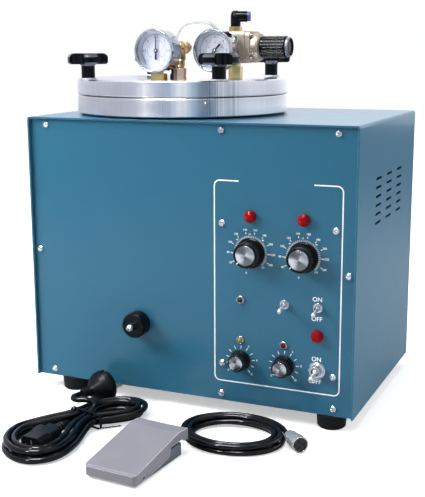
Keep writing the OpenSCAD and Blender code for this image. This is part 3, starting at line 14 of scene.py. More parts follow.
import bpy
from mathutils import Matrix, Vector
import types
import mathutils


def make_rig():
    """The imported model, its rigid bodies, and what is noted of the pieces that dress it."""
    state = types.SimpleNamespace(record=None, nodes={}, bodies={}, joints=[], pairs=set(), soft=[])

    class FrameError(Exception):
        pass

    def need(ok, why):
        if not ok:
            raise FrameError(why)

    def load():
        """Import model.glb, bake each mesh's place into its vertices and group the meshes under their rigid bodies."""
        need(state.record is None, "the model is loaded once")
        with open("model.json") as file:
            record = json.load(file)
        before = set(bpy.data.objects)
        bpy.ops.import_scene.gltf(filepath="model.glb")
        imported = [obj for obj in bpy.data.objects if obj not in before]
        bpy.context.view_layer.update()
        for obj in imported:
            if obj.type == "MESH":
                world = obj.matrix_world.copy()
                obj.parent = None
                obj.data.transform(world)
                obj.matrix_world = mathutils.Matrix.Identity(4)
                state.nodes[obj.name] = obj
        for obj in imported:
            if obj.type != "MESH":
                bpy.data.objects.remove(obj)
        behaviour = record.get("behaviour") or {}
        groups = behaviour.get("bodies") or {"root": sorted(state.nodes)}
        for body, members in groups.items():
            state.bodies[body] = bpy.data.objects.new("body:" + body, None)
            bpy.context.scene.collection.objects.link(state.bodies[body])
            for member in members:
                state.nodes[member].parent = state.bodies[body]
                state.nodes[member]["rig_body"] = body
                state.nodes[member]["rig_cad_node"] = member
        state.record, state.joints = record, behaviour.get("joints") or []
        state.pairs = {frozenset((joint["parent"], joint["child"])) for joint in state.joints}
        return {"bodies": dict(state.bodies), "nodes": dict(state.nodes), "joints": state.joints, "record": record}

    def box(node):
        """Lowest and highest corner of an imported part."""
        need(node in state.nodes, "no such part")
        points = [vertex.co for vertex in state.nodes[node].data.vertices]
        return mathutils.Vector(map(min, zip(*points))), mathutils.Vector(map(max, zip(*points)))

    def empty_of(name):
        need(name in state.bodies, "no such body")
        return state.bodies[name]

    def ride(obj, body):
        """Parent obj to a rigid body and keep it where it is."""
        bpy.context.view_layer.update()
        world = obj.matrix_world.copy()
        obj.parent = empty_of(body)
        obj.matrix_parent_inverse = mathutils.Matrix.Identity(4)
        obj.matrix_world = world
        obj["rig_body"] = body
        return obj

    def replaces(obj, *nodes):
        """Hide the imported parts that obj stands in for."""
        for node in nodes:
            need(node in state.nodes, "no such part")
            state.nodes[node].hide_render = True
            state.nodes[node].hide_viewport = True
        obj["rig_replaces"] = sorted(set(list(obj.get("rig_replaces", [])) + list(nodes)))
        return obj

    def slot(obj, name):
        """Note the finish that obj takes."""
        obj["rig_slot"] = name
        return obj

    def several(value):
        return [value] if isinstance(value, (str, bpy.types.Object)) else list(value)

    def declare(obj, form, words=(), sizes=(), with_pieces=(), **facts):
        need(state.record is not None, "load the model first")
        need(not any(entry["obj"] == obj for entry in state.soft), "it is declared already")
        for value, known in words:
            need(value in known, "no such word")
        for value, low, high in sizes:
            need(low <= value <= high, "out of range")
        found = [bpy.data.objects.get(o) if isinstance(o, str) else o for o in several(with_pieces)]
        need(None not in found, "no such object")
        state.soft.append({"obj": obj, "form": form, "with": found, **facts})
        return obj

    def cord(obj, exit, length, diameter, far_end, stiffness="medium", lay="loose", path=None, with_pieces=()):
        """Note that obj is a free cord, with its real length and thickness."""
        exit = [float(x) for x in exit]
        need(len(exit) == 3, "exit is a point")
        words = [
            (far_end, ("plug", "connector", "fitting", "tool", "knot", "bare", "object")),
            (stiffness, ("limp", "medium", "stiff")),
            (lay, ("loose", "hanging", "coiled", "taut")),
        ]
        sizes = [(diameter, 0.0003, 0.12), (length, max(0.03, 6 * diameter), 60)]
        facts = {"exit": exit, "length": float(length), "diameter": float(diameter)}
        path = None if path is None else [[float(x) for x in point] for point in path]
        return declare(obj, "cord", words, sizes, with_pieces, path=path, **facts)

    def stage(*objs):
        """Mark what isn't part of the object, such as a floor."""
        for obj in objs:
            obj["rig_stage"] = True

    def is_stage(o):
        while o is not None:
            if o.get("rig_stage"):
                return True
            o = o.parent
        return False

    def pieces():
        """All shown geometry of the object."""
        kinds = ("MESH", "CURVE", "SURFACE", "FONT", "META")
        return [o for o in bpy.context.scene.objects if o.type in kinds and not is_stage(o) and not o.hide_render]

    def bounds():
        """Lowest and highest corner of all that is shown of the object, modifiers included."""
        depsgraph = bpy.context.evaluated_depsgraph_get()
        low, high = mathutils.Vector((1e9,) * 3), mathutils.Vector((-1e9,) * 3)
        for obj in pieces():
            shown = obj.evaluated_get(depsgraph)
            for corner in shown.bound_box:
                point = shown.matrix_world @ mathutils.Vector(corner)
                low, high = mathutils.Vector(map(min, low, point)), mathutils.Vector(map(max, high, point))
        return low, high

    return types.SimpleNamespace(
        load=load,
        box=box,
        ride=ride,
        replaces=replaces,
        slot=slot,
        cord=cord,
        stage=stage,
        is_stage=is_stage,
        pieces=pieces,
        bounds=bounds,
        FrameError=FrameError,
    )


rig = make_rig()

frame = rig.load()
cad_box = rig.bounds()
log = logging.getLogger("wax_injector")

MM = 0.001
FRONT_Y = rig.box("cabinet_cover")[0].y / MM
PANEL_Y = 3.5
REAR_Y = 244.5
FOOT_H = 15.0
LID_TOP = 355.0
PRINT_T = 0.08

Socket = bpy.types.NodeSocket
Point = tuple[float, float, float]
Flat = tuple[float, float]


class Slot(str, Enum):
    """The record's material slots that new pieces take their finish from."""

    BLACK_PLASTIC = "black_plastic"
    TURNED_ALUMINIUM = "turned_aluminium"
    WHITE_DIAL = "white_dial"
    CLEAR_HOSE = "clear_hose"
    CORD_BLACK = "cord_black"
    RED_LENS = "red_lens"


def rgb(code: str) -> Point:
    """Linear colour of a written screen colour.

    Args:
        code: six hexadecimal digits after a hash.

    Returns:
        Linear red, green and blue.
    """
    parts = [int(code[i : i + 2], 16) / 255 for i in (1, 3, 5)]
    return tuple(c / 12.92 if c <= 0.04045 else ((c + 0.055) / 1.055) ** 2.4 for c in parts)


def unit(v: Vector) -> Vector:
    """The direction of a vector."""
    return Vector(v).normalized()


def climb(t: float, start: float, end: float) -> float:
    """Smooth step from 0 at start to 1 at end."""
    u = min(1.0, max(0.0, (t - start) / (end - start)))
    return u * u * (3 - 2 * u)


def spline(points: list[Vector], steps: int) -> list[Vector]:
    """A smooth line through all its points.

    Args:
        points: the points that it passes through.
        steps: how many new points each stretch gets.

    Returns:
        The finer line, its own ends kept.
    """
    out = []
    last = len(points) - 1
    for i in range(last):
        a, b = points[max(i - 1, 0)], points[i]
        c, d = points[i + 1], points[min(i + 2, last)]
        for k in range(steps):
            t = k / steps
            out.append(
                0.5 * (2 * b + (c - a) * t + (2 * a - 5 * b + 4 * c - d) * t * t
                       + (3 * b - a - 3 * c + d) * t**3)
            )
    return [*out, points[last]]


def line_length(points: list[Vector]) -> float:
    """Length of a line of points."""
    return sum((b - a).length for a, b in zip(points, points[1:]))


# ------------------------------------------------------------------ places


def in_frame(at: Point) -> Vector:
    """A bench place in millimetres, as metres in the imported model's frame."""
    return (Vector(at) + Vector((0, FRONT_Y, 0))) * MM


def level(azimuth: float) -> Vector:
    """The level direction at an azimuth in degrees, anticlockwise from the right."""
    a = math.radians(azimuth)
    return Vector((math.cos(a), math.sin(a), 0))


def clock(r: float, degrees: float) -> Flat:
    """A point at a radius, its degrees clockwise from straight up."""
    a = math.radians(degrees)
    return r * math.sin(a), r * math.cos(a)


def turned_frame(at: Point, x: Point, y: Point, z: Point) -> Matrix:
    """A local frame from its origin and its three axes."""
    rows = [(x[i], y[i], z[i], at[i]) for i in range(3)]
    return Matrix([*rows, (0, 0, 0, 1)])


def on_panel(u: float, v: float) -> Matrix:
    """A frame on the front panel: x right, y up, z out of the face."""
    return turned_frame((u, PANEL_Y, FOOT_H + v), (1, 0, 0), (0, 0, 1), (0, -1, 0))


def on_rear(u: float, v: float) -> Matrix:
    """A frame on the rear panel: z out of the back, y up."""
    return turned_frame((u, REAR_Y, FOOT_H + v), (-1, 0, 0), (0, 0, 1), (0, 1, 0))


def along_bench(at: Point, azimuth: float) -> Matrix:
    """A frame whose z runs level over the bench at an azimuth in degrees."""
    ahead = level(azimuth)
    return turned_frame(at, (0, 0, -1), (-ahead.y, ahead.x, 0), ahead)


# ------------------------------------------------------------------ shapes


class Shape:
    """Vertices and faces of one piece in bench millimetres, gathered from simple forms."""

    def __init__(self) -> None:
        """Starts with nothing in it."""
        self.points: list[Vector] = []
        self.faces: list[tuple[int, ...]] = []

    def add(self, points: list[Vector], faces: list[tuple[int, ...]], place: Matrix) -> None:
        """Takes in a form's points, moved to their place, and its faces."""
        first = len(self.points)
        self.points += [place @ Vector(p) for p in points]
        self.faces += [tuple(first + i for i in f) for f in faces]

    def lathe(self, profile: list[Flat], place: Matrix, sides: int = 64) -> None:
        """Turns a profile round the local z axis.

        Args:
            profile: radius and height of each point, from the bottom to the top.
            place: the frame whose z is the axis.
            sides: how many flats the circle has.
        """
        points, faces, rings = [], [], []
        for r, z in profile:
            if r <= 0:
                rings.append([len(points)] * sides)
                points.append((0, 0, z))
                continue
            rings.append([len(points) + k for k in range(sides)])
            turn = 2 * math.pi / sides
            points += [(r * math.cos(k * turn), r * math.sin(k * turn), z)
                       for k in range(sides)]
        for low, high in zip(rings, rings[1:]):
            for k in range(sides):
                n = (k + 1) % sides
                quad = list(dict.fromkeys((low[k], low[n], high[n], high[k])))
                if len(quad) > 2:
                    faces.append(tuple(quad))
        if profile[0] == profile[-1]:
            last = len(points) - sides
            faces = [tuple(i - last if i >= last else i for i in f) for f in faces]
            points = points[:last]
        self.add(points, faces, place)

    def prism(self, outline: list[Flat], low: float, high: float, place: Matrix) -> None:
        """A closed prism over a flat outline that runs anticlockwise."""
        n = len(outline)
        points = [(x, y, z) for z in (low, high) for x, y in outline]
        faces = [tuple(range(n - 1, -1, -1)), tuple(range(n, 2 * n))]
        faces += [(k, (k + 1) % n, n + (k + 1) % n, n + k) for k in range(n)]
        self.add(points, faces, place)

    def stroke(self, line: list[Flat], width: float, low: float, high: float,
               place: Matrix) -> None:
        """A flat band of even width along an open line.

        Args:
            line: the points down its middle.
            width: from edge to edge.
            low: height of its underside.
            high: height of its face.
            place: the frame that it lies in.
        """
        left, right = [], []
        for i, (x, y) in enumerate(line):
            ax, ay = line[max(i - 1, 0)]
            bx, by = line[min(i + 1, len(line) - 1)]
            run = math.hypot(bx - ax, by - ay)
            nx, ny = -(by - ay) / run * width / 2, (bx - ax) / run * width / 2
            left.append((x + nx, y + ny))
            right.append((x - nx, y - ny))
        n = len(line)
        points = [(x, y, z) for z in (low, high) for x, y in (*right, *left)]
        faces = []
        for k in range(n - 1):
            a, b, c, d = k, k + 1, n + k + 1, n + k
            faces += [(d, c, b, a), tuple(2 * n + i for i in (a, b, c, d)),
                      (a, b, 2 * n + b, 2 * n + a), (c, d, 2 * n + d, 2 * n + c)]
        faces += [(n, 0, 2 * n, 3 * n), (n - 1, 2 * n - 1, 4 * n - 1, 3 * n - 1)]
        self.add(points, faces, place)

    def words(self, text: str, size: float, at: Flat, place: Matrix, lift: float = 0.0) -> None:
        """Raised figures, centred on a point of the frame.

        Args:
            text: plain numbers, or ON and OFF.
            size: the font's size; capitals are about 0.7 of it.
            at: the middle of the text.
            place: the frame that it lies in.
            lift: height of its middle above the frame.
        """
        curve = bpy.data.curves.new("figures", "FONT")
        curve.body, curve.size = text, size
        curve.align_x, curve.align_y = "CENTER", "CENTER"
        curve.extrude, curve.resolution_u = PRINT_T / 2, 3
        curve.offset = size * 0.012
        holder = bpy.data.objects.new("figures", curve)
        mesh = bpy.data.meshes.new_from_object(holder)
        shift = Vector((at[0], at[1], lift))
        self.add([v.co + shift for v in mesh.vertices],
                 [tuple(p.vertices) for p in mesh.polygons], place)
        bpy.data.meshes.remove(mesh)
        bpy.data.objects.remove(holder)
        bpy.data.curves.remove(curve)

    def tube(self, line: list[Vector], radius: float, sides: int = 14) -> None:
        """A closed round tube along a line, with flat ends."""
        n = len(line)
        side = Vector((0.05, 0.1, 1))
        points, faces = [], []
        for i, p in enumerate(line):
            ahead = unit(line[min(i + 1, n - 1)] - line[max(i - 1, 0)])
            side = unit(side - side.dot(ahead) * ahead)
            other = ahead.cross(side)
            for k in range(sides):
                a = 2 * math.pi * k / sides
                points.append(p + radius * (math.cos(a) * side + math.sin(a) * other))
        for i in range(n - 1):
            for k in range(sides):
                a, b = i * sides + k, i * sides + (k + 1) % sides
                faces.append((a, b, b + sides, a + sides))
        faces.append(tuple(range(sides - 1, -1, -1)))
        faces.append(tuple(range((n - 1) * sides, n * sides)))
        self.add(points, faces, Matrix())

    def piece(self, name: str, body: str, finish: "Finish", slot: Slot | None = None,
              smooth: float = 35.0) -> bpy.types.Object:
        """Makes the mesh and hangs it on its body.

        Args:
            name: the piece's name.
            body: the body that it moves with.
            finish: its finish.
            slot: the record's slot that the finish belongs to.
            smooth: edges sharper than this many degrees stay sharp.

        Returns:
            The new object.
        """
        mesh = bpy.data.meshes.new(name)
        mesh.from_pydata([in_frame(p) for p in self.points], [], self.faces)
        mesh.materials.append(finish.material())
        mesh.polygons.foreach_set("use_smooth", [True] * len(mesh.polygons))
        mesh.validate()
        made = bpy.data.objects.new(name, mesh)
        bpy.context.scene.collection.objects.link(made)
        mesh.set_sharp_from_angle(angle=math.radians(smooth))
        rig.ride(made, body)
        if slot:
            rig.slot(made, slot.value)
        log.info("%s: %d faces on %s", name, len(mesh.polygons), body)
        return made


# ------------------------------------------------------------------ shader wiring


class Wiring:
    """Places nodes in one tree and joins their sockets."""

    def __init__(self, tree: bpy.types.NodeTree) -> None:
        """Works on this tree."""
        self.tree = tree

    def put(self, socket: Socket, value: object) -> None:
        """Gives a socket a link or a plain value."""
        if isinstance(value, Socket):
            self.tree.links.new(value, socket)
        elif value is not None:
            if socket.type == "RGBA" and len(value) == 3:
                value = (*value, 1.0)
            socket.default_value = value

    def node(self, kind: str, inputs: dict | None = None, **settings: object) -> bpy.types.Node:
        """Adds a node.

        Args:
            kind: the node's type, without the leading ShaderNode.
            inputs: sockets by name or place, with what goes into each.
            settings: the node's own settings.

        Returns:
            The new node.
        """
        made = self.tree.nodes.new("ShaderNode" + kind)
        for key, value in settings.items():
            setattr(made, key, value)
        for key, value in (inputs or {}).items():
            self.put(made.inputs[key], value)
        return made

    def math(self, operation: str, a: object, b: object = None, clamp: bool = False) -> Socket:
        """One sum on values."""
        return self.node("Math", {0: a, 1: b}, operation=operation, use_clamp=clamp).outputs[0]

    def vector(self, operation: str, a: object, b: object = None) -> Socket:
        """One sum on vectors; a dot product or a length comes out as a value."""
        made = self.node("VectorMath", {0: a, 1: b}, operation=operation)
        return made.outputs[1 if operation in ("DOT_PRODUCT", "LENGTH") else 0]

    def mix(self, factor: object, a: object, b: object) -> Socket:
        """Blend of two colours."""
        return self.node("Mix", {0: factor, 6: a, 7: b}, data_type="RGBA").outputs[2]

    def blend(self, factor: object, a: object, b: object) -> Socket:
        """Blend of two values."""
        return self.node("Mix", {0: factor, 2: a, 3: b}, data_type="FLOAT").outputs[0]

    def span(self, value: object, low: float, high: float, to_low: float = 0.0,
             to_high: float = 1.0) -> Socket:
        """Maps one range of values onto another."""
        return self.node("MapRange", {0: value, 1: low, 2: high, 3: to_low, 4: to_high}).outputs[0]

    def noise(self, where: object, scale: object, detail: float = 2.0) -> Socket:
        """Cloudy noise in space."""
        return self.node("TexNoise", {"Vector": where, "Scale": scale, "Detail": detail}).outputs[0]

    def where(self) -> Socket:
        """A point's own place on the piece at rest, in metres."""
        return self.node("TexCoord").outputs["Object"]

    def group(self, name: str, inputs: dict | None = None) -> bpy.types.Node:
        """Places one of the shared effects."""
        made = self.tree.nodes.new("ShaderNodeGroup")
        made.node_tree = bpy.data.node_groups[name]
        for key, value in (inputs or {}).items():
            self.put(made.inputs[key], value)
        return made

    def bump(self, height: object, distance: float, normal: object = None,
             strength: float = 1.0) -> Socket:
        """A relief of that many metres, on top of another normal."""
        sockets = {"Height": height, "Distance": distance, "Strength": strength,
                   "Normal": normal}
        return self.node("Bump", sockets).outputs[0]


class Effects:
    """The effects that several finishes share, each a node group built once."""

    @staticmethod
    def _group(name: str, takes: dict[str, str], gives: dict[str, str]) -> tuple:
        """Opens a node group with named sockets.

        Args:
            name: the group's name.
            takes: each input's name and kind.
            gives: each output's name and kind.

        Returns:
            Its wiring, its inputs by name and its output node.
        """
        tree = bpy.data.node_groups.new(name, "ShaderNodeTree")
        for way, sockets in (("INPUT", takes), ("OUTPUT", gives)):
            for label, kind in sockets.items():
                tree.interface.new_socket(label, in_out=way, socket_type="NodeSocket" + kind)
        return Wiring(tree), tree.nodes.new("NodeGroupInput").outputs, tree.nodes.new(
            "NodeGroupOutput")

    def build(self) -> None:
        """Builds all the groups."""
        self.rounded_edges()
        self.axis_place()
        self.skin()
        self.lathe_lines()
        self.handling()

    def rounded_edges(self) -> None:
        """Softened edges, and a mask of where they are."""
        w, takes, gives = self._group("rounded_edges", {"Radius": "Float"},
                                      {"Normal": "Vector", "Edge": "Float"})
        soft = w.node("Bevel", {"Radius": takes["Radius"]}, samples=6).outputs[0]
        plain = w.node("NewGeometry").outputs["Normal"]
        bend = w.math("SUBTRACT", 1.0, w.vector("DOT_PRODUCT", soft, plain))
        w.put(gives.inputs["Normal"], soft)
        w.put(gives.inputs["Edge"], w.span(bend, 0.015, 0.16))

    def axis_place(self) -> None:
        """How far a point is along an axis and out from it, in metres."""
        w, takes, gives = self._group("axis_place", {"Origin": "Vector", "Axis": "Vector"},
                                      {"Along": "Float", "Radius": "Float"})
        away = w.vector("SUBTRACT", w.where(), takes["Origin"])
        along = w.vector("DOT_PRODUCT", away, takes["Axis"])
        on_axis = w.node("VectorMath", {0: takes["Axis"], "Scale": along},
                         operation="SCALE").outputs[0]
        out = w.vector("LENGTH", w.vector("SUBTRACT", away, on_axis))
        w.put(gives.inputs["Along"], along)
        w.put(gives.inputs["Radius"], out)

    def skin(self) -> None:
        """The fine relief of paint or a cast, and the slow drift of its tone."""
        w, takes, gives = self._group("skin", {"Scale": "Float"},
                                      {"Height": "Float", "Tone": "Float"})
        place = w.where()
        fine = w.noise(place, takes["Scale"], 3.0)
        slow = w.noise(place, w.math("MULTIPLY", takes["Scale"], 0.02), 4.0)
        w.put(gives.inputs["Height"], fine)
        w.put(gives.inputs["Tone"], w.span(slow, 0.3, 0.7))

    def lathe_lines(self) -> None:
        """Fine uneven rings that a lathe tool leaves."""
        w, takes, gives = self._group("lathe_lines", {"Place": "Float", "Pitch": "Float"},
                                      {"Height": "Float", "Tone": "Float"})
        at = w.math("DIVIDE", takes["Place"], takes["Pitch"])
        fine = w.node("TexNoise", {"W": at, "Scale": 1.0, "Detail": 3.0},
                      noise_dimensions="1D").outputs[0]
        broad = w.node("TexNoise", {"W": at, "Scale": 0.07, "Detail": 2.0},
                       noise_dimensions="1D").outputs[0]
        w.put(gives.inputs["Height"], fine)
        w.put(gives.inputs["Tone"], w.math("MULTIPLY", fine, broad))

    def handling(self) -> None:
        """Faint smears and settled dust, most on faces that look up."""
        w, takes, gives = self._group("handling", {"Amount": "Float"}, {"Mask": "Float"})
        place = w.where()
        smear = w.span(w.noise(place, 22.0, 5.0), 0.48, 0.75)
        speck = w.span(w.noise(place, 900.0, 2.0), 0.62, 0.72)
        up = w.node("SeparateXYZ", {0: w.node("NewGeometry").outputs["Normal"]}).outputs[2]
        facing = w.span(up, -0.2, 0.9, 0.35, 1.0)
        both = w.math("ADD", w.math("MULTIPLY", smear, 0.7), w.math("MULTIPLY", speck, 0.3))
        w.put(gives.inputs["Mask"],
              w.math("MULTIPLY", w.math("MULTIPLY", both, facing), takes["Amount"], True))


# ------------------------------------------------------------------ finishes

DUST = "#b9b8b4"
# Painted reflections on turned metal: dark upright streaks on the pot's side and dark fan wedges on the knob caps.
PAINTED_STREAK, PAINTED_STREAK_SIDE = "#8f949d", (0.706, 0.708, 0.0)
PAINTED_FAN, PAINTED_FAN_SIDE = "#45484d", (0.91, 0.0, 0.42)


@dataclass(frozen=True)
class Region:
    """A part of a node in another stuff, by its place round an axis."""

    origin: Point
    axis: Point
    along: Flat
    radius: Flat
    colour: str
    metallic: float = 0.0
    roughness: float = 0.3

    def mask(self, w: Wiring) -> Socket:
        """Value 1 inside the region."""
        place = w.group("axis_place", {"Origin": in_frame(self.origin),
                                       "Axis": unit(self.axis)})
        mask = 1.0
        for name, (low, high) in (("Along", self.along), ("Radius", self.radius)):
            value = place.outputs[name]
            over = w.math("GREATER_THAN", value, low * MM)
            under = w.math("LESS_THAN", value, high * MM)
            inside = w.math("MULTIPLY", over, under)
            mask = w.math("MULTIPLY", inside, mask)
        return mask


@dataclass(frozen=True)
class Finish:
    """A solid stuff: paint, plastic, rubber or plated metal.

    The colour drifts with its tone; edges are softened and lightened, partly as real rubbed wear and partly as a
    painted highlight along them; dust dulls it.
    """

    name: str
    colour: str
    drift: str
    roughness: float
    metallic: float = 0.0
    specular: float = 0.5
    coat: float = 0.0
    coat_roughness: float = 0.1
    grain: float = 900.0
    relief: float = 0.00002
    edge: float = 0.0004
    worn: str = ""
    wear: float = 0.4
    dust: float = 0.12
    region: Region | None = None

    def material(self) -> bpy.types.Material:
        """The material, made the first time that it is asked for."""
        found = bpy.data.materials.get(self.name)
        return found or self._make()

    def _open(self) -> tuple[bpy.types.Material, Wiring]:
        """An empty material and its wiring."""
        made = bpy.data.materials.new(self.name)
        made.use_nodes = True
        made.node_tree.nodes.clear()
        return made, Wiring(made.node_tree)

    @staticmethod
    def close(w: Wiring, sockets: dict) -> None:
        """Adds the Principled shader and the output."""
        shader = w.node("BsdfPrincipled", sockets)
        w.tree.links.new(shader.outputs[0], w.node("OutputMaterial").inputs[0])

    def _tint(self, w: Wiring, colour: Socket) -> Socket:
        """A change of colour that one kind of finish adds; none here."""
        return colour

    def _make(self) -> bpy.types.Material:
        """Builds the material."""
        made, w = self._open()
        skin = w.group("skin", {"Scale": self.grain})
        edges = w.group("rounded_edges", {"Radius": self.edge})
        dust = w.group("handling", {"Amount": self.dust}).outputs[0]
        colour = w.mix(skin.outputs["Tone"], rgb(self.colour), rgb(self.drift))
        # Edges painted lighter: partly real rubbed wear, partly a painted highlight along them.
        if self.worn:
            wear_and_highlight_mask = w.math("MULTIPLY", edges.outputs["Edge"], self.wear)
            colour = w.mix(wear_and_highlight_mask, colour, rgb(self.worn))
        colour = self._tint(w, colour)
        if not self.metallic:
            colour = w.mix(w.math("MULTIPLY", dust, 0.5), colour, rgb(DUST))
        rough = w.span(skin.outputs["Tone"], 0, 1, self.roughness * 0.96, self.roughness * 1.04)
        rough = w.math("ADD", rough, w.math("MULTIPLY", dust, 0.35), True)
        metallic: object = self.metallic
        if self.region:
            mask = self.region.mask(w)
            colour = w.mix(mask, colour, rgb(self.region.colour))
            rough = w.blend(mask, rough, self.region.roughness)
            metallic = w.blend(mask, self.metallic, self.region.metallic)
        normal = w.bump(skin.outputs["Height"], self.relief, edges.outputs["Normal"])
        self.close(w, {"Base Color": colour, "Roughness": rough, "Metallic": metallic,
                       "Specular IOR Level": self.specular, "Coat Weight": self.coat,
                       "Coat Roughness": self.coat_roughness, "Normal": normal})
        return made


@dataclass(frozen=True)
class Moulding(Finish):
    """A black moulding whose fillets are painted lighter as thin lines: a painted highlight."""

    axis: Point = (0, 0, 1)
    gleam: float = 0.5

    def _tint(self, w: Wiring, colour: Socket) -> Socket:
        """Paints a highlight on the fillets, which are where the surface leans away from the axis."""
        lean = w.math("ABSOLUTE", w.vector("DOT_PRODUCT", w.node("TexCoord").outputs["Normal"],
                                           self.axis))
        slope = w.math("MULTIPLY", lean, w.math("SUBTRACT", 1.0, lean))
        # Painted highlight: thin light lines on the fillets.
        painted_fillet_gleam = w.math("MULTIPLY", w.span(slope, 0.08, 0.2), self.gleam)
        return w.mix(painted_fillet_gleam, colour, rgb(self.worn))


@dataclass(frozen=True)
class TurnedMetal(Finish):
    """Aluminium off the lathe: fine rings round an axis that stretch its highlights, with painted reflections added as
    dark streaks and dark fan wedges.
    """

    origin: Point = (0, 0, 0)
    axis: Point = (0, 0, 1)
    pitch: float = 0.0006
    stretch: float = 0.7
    streak: float = 0.0
    cone: float = 0.0

    def _make(self) -> bpy.types.Material:
        """Builds the material; the ring's direction is the shader's tangent."""
        made, w = self._open()
        origin, axis = in_frame(self.origin), unit(self.axis)
        place = w.group("axis_place", {"Origin": origin, "Axis": axis})
        sum_place = w.math("ADD", place.outputs["Along"], place.outputs["Radius"])
        lines = w.group("lathe_lines", {"Place": sum_place, "Pitch": self.pitch})
        edges = w.group("rounded_edges", {"Radius": self.edge})
        dust = w.group("handling", {"Amount": self.dust}).outputs[0]
        round_it = w.vector("CROSS_PRODUCT", axis, w.vector("SUBTRACT", w.where(), origin))
        tangent = w.vector("NORMALIZE", round_it)
        colour = w.mix(lines.outputs["Tone"], rgb(self.colour), rgb(self.drift))
        # Painted reflection: fine dark upright streaks, strongest on one side of the pot.
        if self.streak:
            fine = w.span(w.noise(tangent, 90.0), 0.42, 0.62)
            facing = w.vector("DOT_PRODUCT", tangent, PAINTED_STREAK_SIDE)
            share = w.span(facing, 0.975, 0.993, 0.18, 1.0)
            colour = w.mix(w.math("MULTIPLY", w.math("MULTIPLY", fine, share), self.streak),
                           colour, rgb(PAINTED_STREAK))
        # Painted reflection: two dark opposite wedges across each cap.
        if self.cone:
            side = w.vector("DOT_PRODUCT", tangent, PAINTED_FAN_SIDE)
            painted_fan_mask = w.math("MULTIPLY", side, side)
            colour = w.mix(w.math("MULTIPLY", w.span(painted_fan_mask, 0.2, 0.75), self.cone), colour,
                           rgb(PAINTED_FAN))
        # Edges painted lighter: mostly a painted highlight, partly real rubbed wear.
        colour = w.mix(w.math("MULTIPLY", edges.outputs["Edge"], self.wear), colour,
                       rgb(self.worn or self.colour))
        rough = w.math("ADD", w.span(lines.outputs["Tone"], 0, 0.6, self.roughness * 0.8,
                                     self.roughness * 1.3), w.math("MULTIPLY", dust, 0.2))
        normal = w.bump(lines.outputs["Height"], self.relief, edges.outputs["Normal"])
        self.close(w, {"Base Color": colour, "Roughness": rough, "Metallic": 1.0,
                       "Anisotropic": self.stretch, "Anisotropic Rotation": 0.25,
                       "Tangent": tangent, "Normal": normal})
        return made


@dataclass(frozen=True)
class ClearFinish(Finish):
    """Glass or clear tubing that lets most light straight through."""

    clear: float = 0.9

    def _make(self) -> bpy.types.Material:
        """Builds the material: nearly all alpha, more solid where it is seen edge on, and painted darker there as
        painted shade for the light that its walls bend and reflect.
        """
        made, w = self._open()
        skin = w.group("skin", {"Scale": self.grain})
        rim = w.node("LayerWeight", {"Blend": 0.35}).outputs["Facing"]
        alpha = w.span(rim, 0.45, 1.0, 1 - self.clear, min(1.0, 1.8 - self.clear))
        # Painted shade: edge-on parts take the darker colour.
        colour = w.mix(w.span(rim, 0.35, 0.9), rgb(self.colour), rgb(self.drift))
        normal = w.bump(skin.outputs["Height"], self.relief)
        self.close(w, {"Base Color": colour, "Roughness": self.roughness, "Alpha": alpha,
                       "Coat Weight": self.coat, "Coat Roughness": self.coat_roughness,
                       "Specular IOR Level": 0.8, "Normal": normal})
        return made


@dataclass(frozen=True)
class LensFinish(Finish):
    """A coloured lamp lens with facets moulded inside it, each facet painted darker towards its middle as painted
    shade for the light that the facets bend.
    """

    facet: float = 420.0

    def _make(self) -> bpy.types.Material:
        """Builds the material."""
        made, w = self._open()
        cells = w.node("TexVoronoi", {"Vector": w.where(), "Scale": self.facet},
                       feature="F1").outputs["Distance"]
        # Painted shade: each facet cell darker towards its middle, lighter at its edges.
        colour = w.mix(w.span(cells, 0.1, 0.7), rgb(self.drift), rgb(self.colour))
        normal = w.bump(cells, self.relief)
        self.close(w, {"Base Color": colour, "Roughness": self.roughness,
                       "Specular IOR Level": 0.16, "Normal": normal})
        return made


TEAL = Finish("teal_paint", "#306884", "#316983", 0.3, coat=0.38, specular=0.1, grain=1100,
              relief=0.000008, edge=0.0007, worn="#8fb9cc", wear=0.45, dust=0.0)
POT_AXIS = (-56.0, 124.0, 0.0)
# The pot's aluminium carries painted reflection streaks.
ALUMINIUM = TurnedMetal("turned_aluminium_rings", "#f0f1f5", "#dcdee4", 0.2, relief=0.000005,
                        edge=0.0006, worn="#ffffff", wear=0.6, dust=0.06, origin=POT_AXIS,
                        stretch=0.8, streak=0.6)
BRASS = Finish("yellow_brass", "#dcc48a", "#c4a765", 0.2, metallic=1.0, grain=500,
               relief=0.00001, worn="#f4e6bd", wear=0.6)
CHROME = Finish("bright_plate", "#dadde1", "#c3c7cc", 0.1, metallic=1.0, grain=400,
                relief=0.000004, edge=0.0003, worn="#fbfcfd", wear=0.6)
GAUGE_CASE = Finish("gauge_case_plate", "#c2c8d0", "#aeb4bd", 0.09, metallic=1.0, grain=400,
                    relief=0.000004, worn="#f6f8fa", wear=0.7)
LEVER = Finish("nickel_lever", "#f0f0ee", "#dcdddd", 0.25, metallic=0.65, grain=500,
               relief=0.000004, edge=0.0003, worn="#ffffff")
ZINC = Finish("zinc_plate", "#d4d7da", "#b4b8bc", 0.3, metallic=1.0, grain=700,
              relief=0.00001, worn="#eef0f2")
SCREW = Finish("screw_plate", "#eceef1", "#c2c6ca", 0.2, metallic=1.0, relief=0.00001,
               edge=0.0003, worn="#ffffff", wear=0.8)
PHENOLIC = Moulding("star_moulding", "#050609", "#0a0c10", 0.09, specular=0.12, grain=260,
                    relief=0.000006, worn="#7d848d", wear=0.0, dust=0.0)
PLASTIC = Finish("black_moulding", "#08090b", "#0d0f12", 0.2, specular=0.1, grain=1400,
                 relief=0.00001, worn="#5d6167", wear=0.3, dust=0.0)
KNOB = Finish("knob_moulding", "#060709", "#0b0c0f", 0.16, specular=0.13, relief=0.00001,
              edge=0.0003, worn="#8d9298", wear=0.5, dust=0.0)
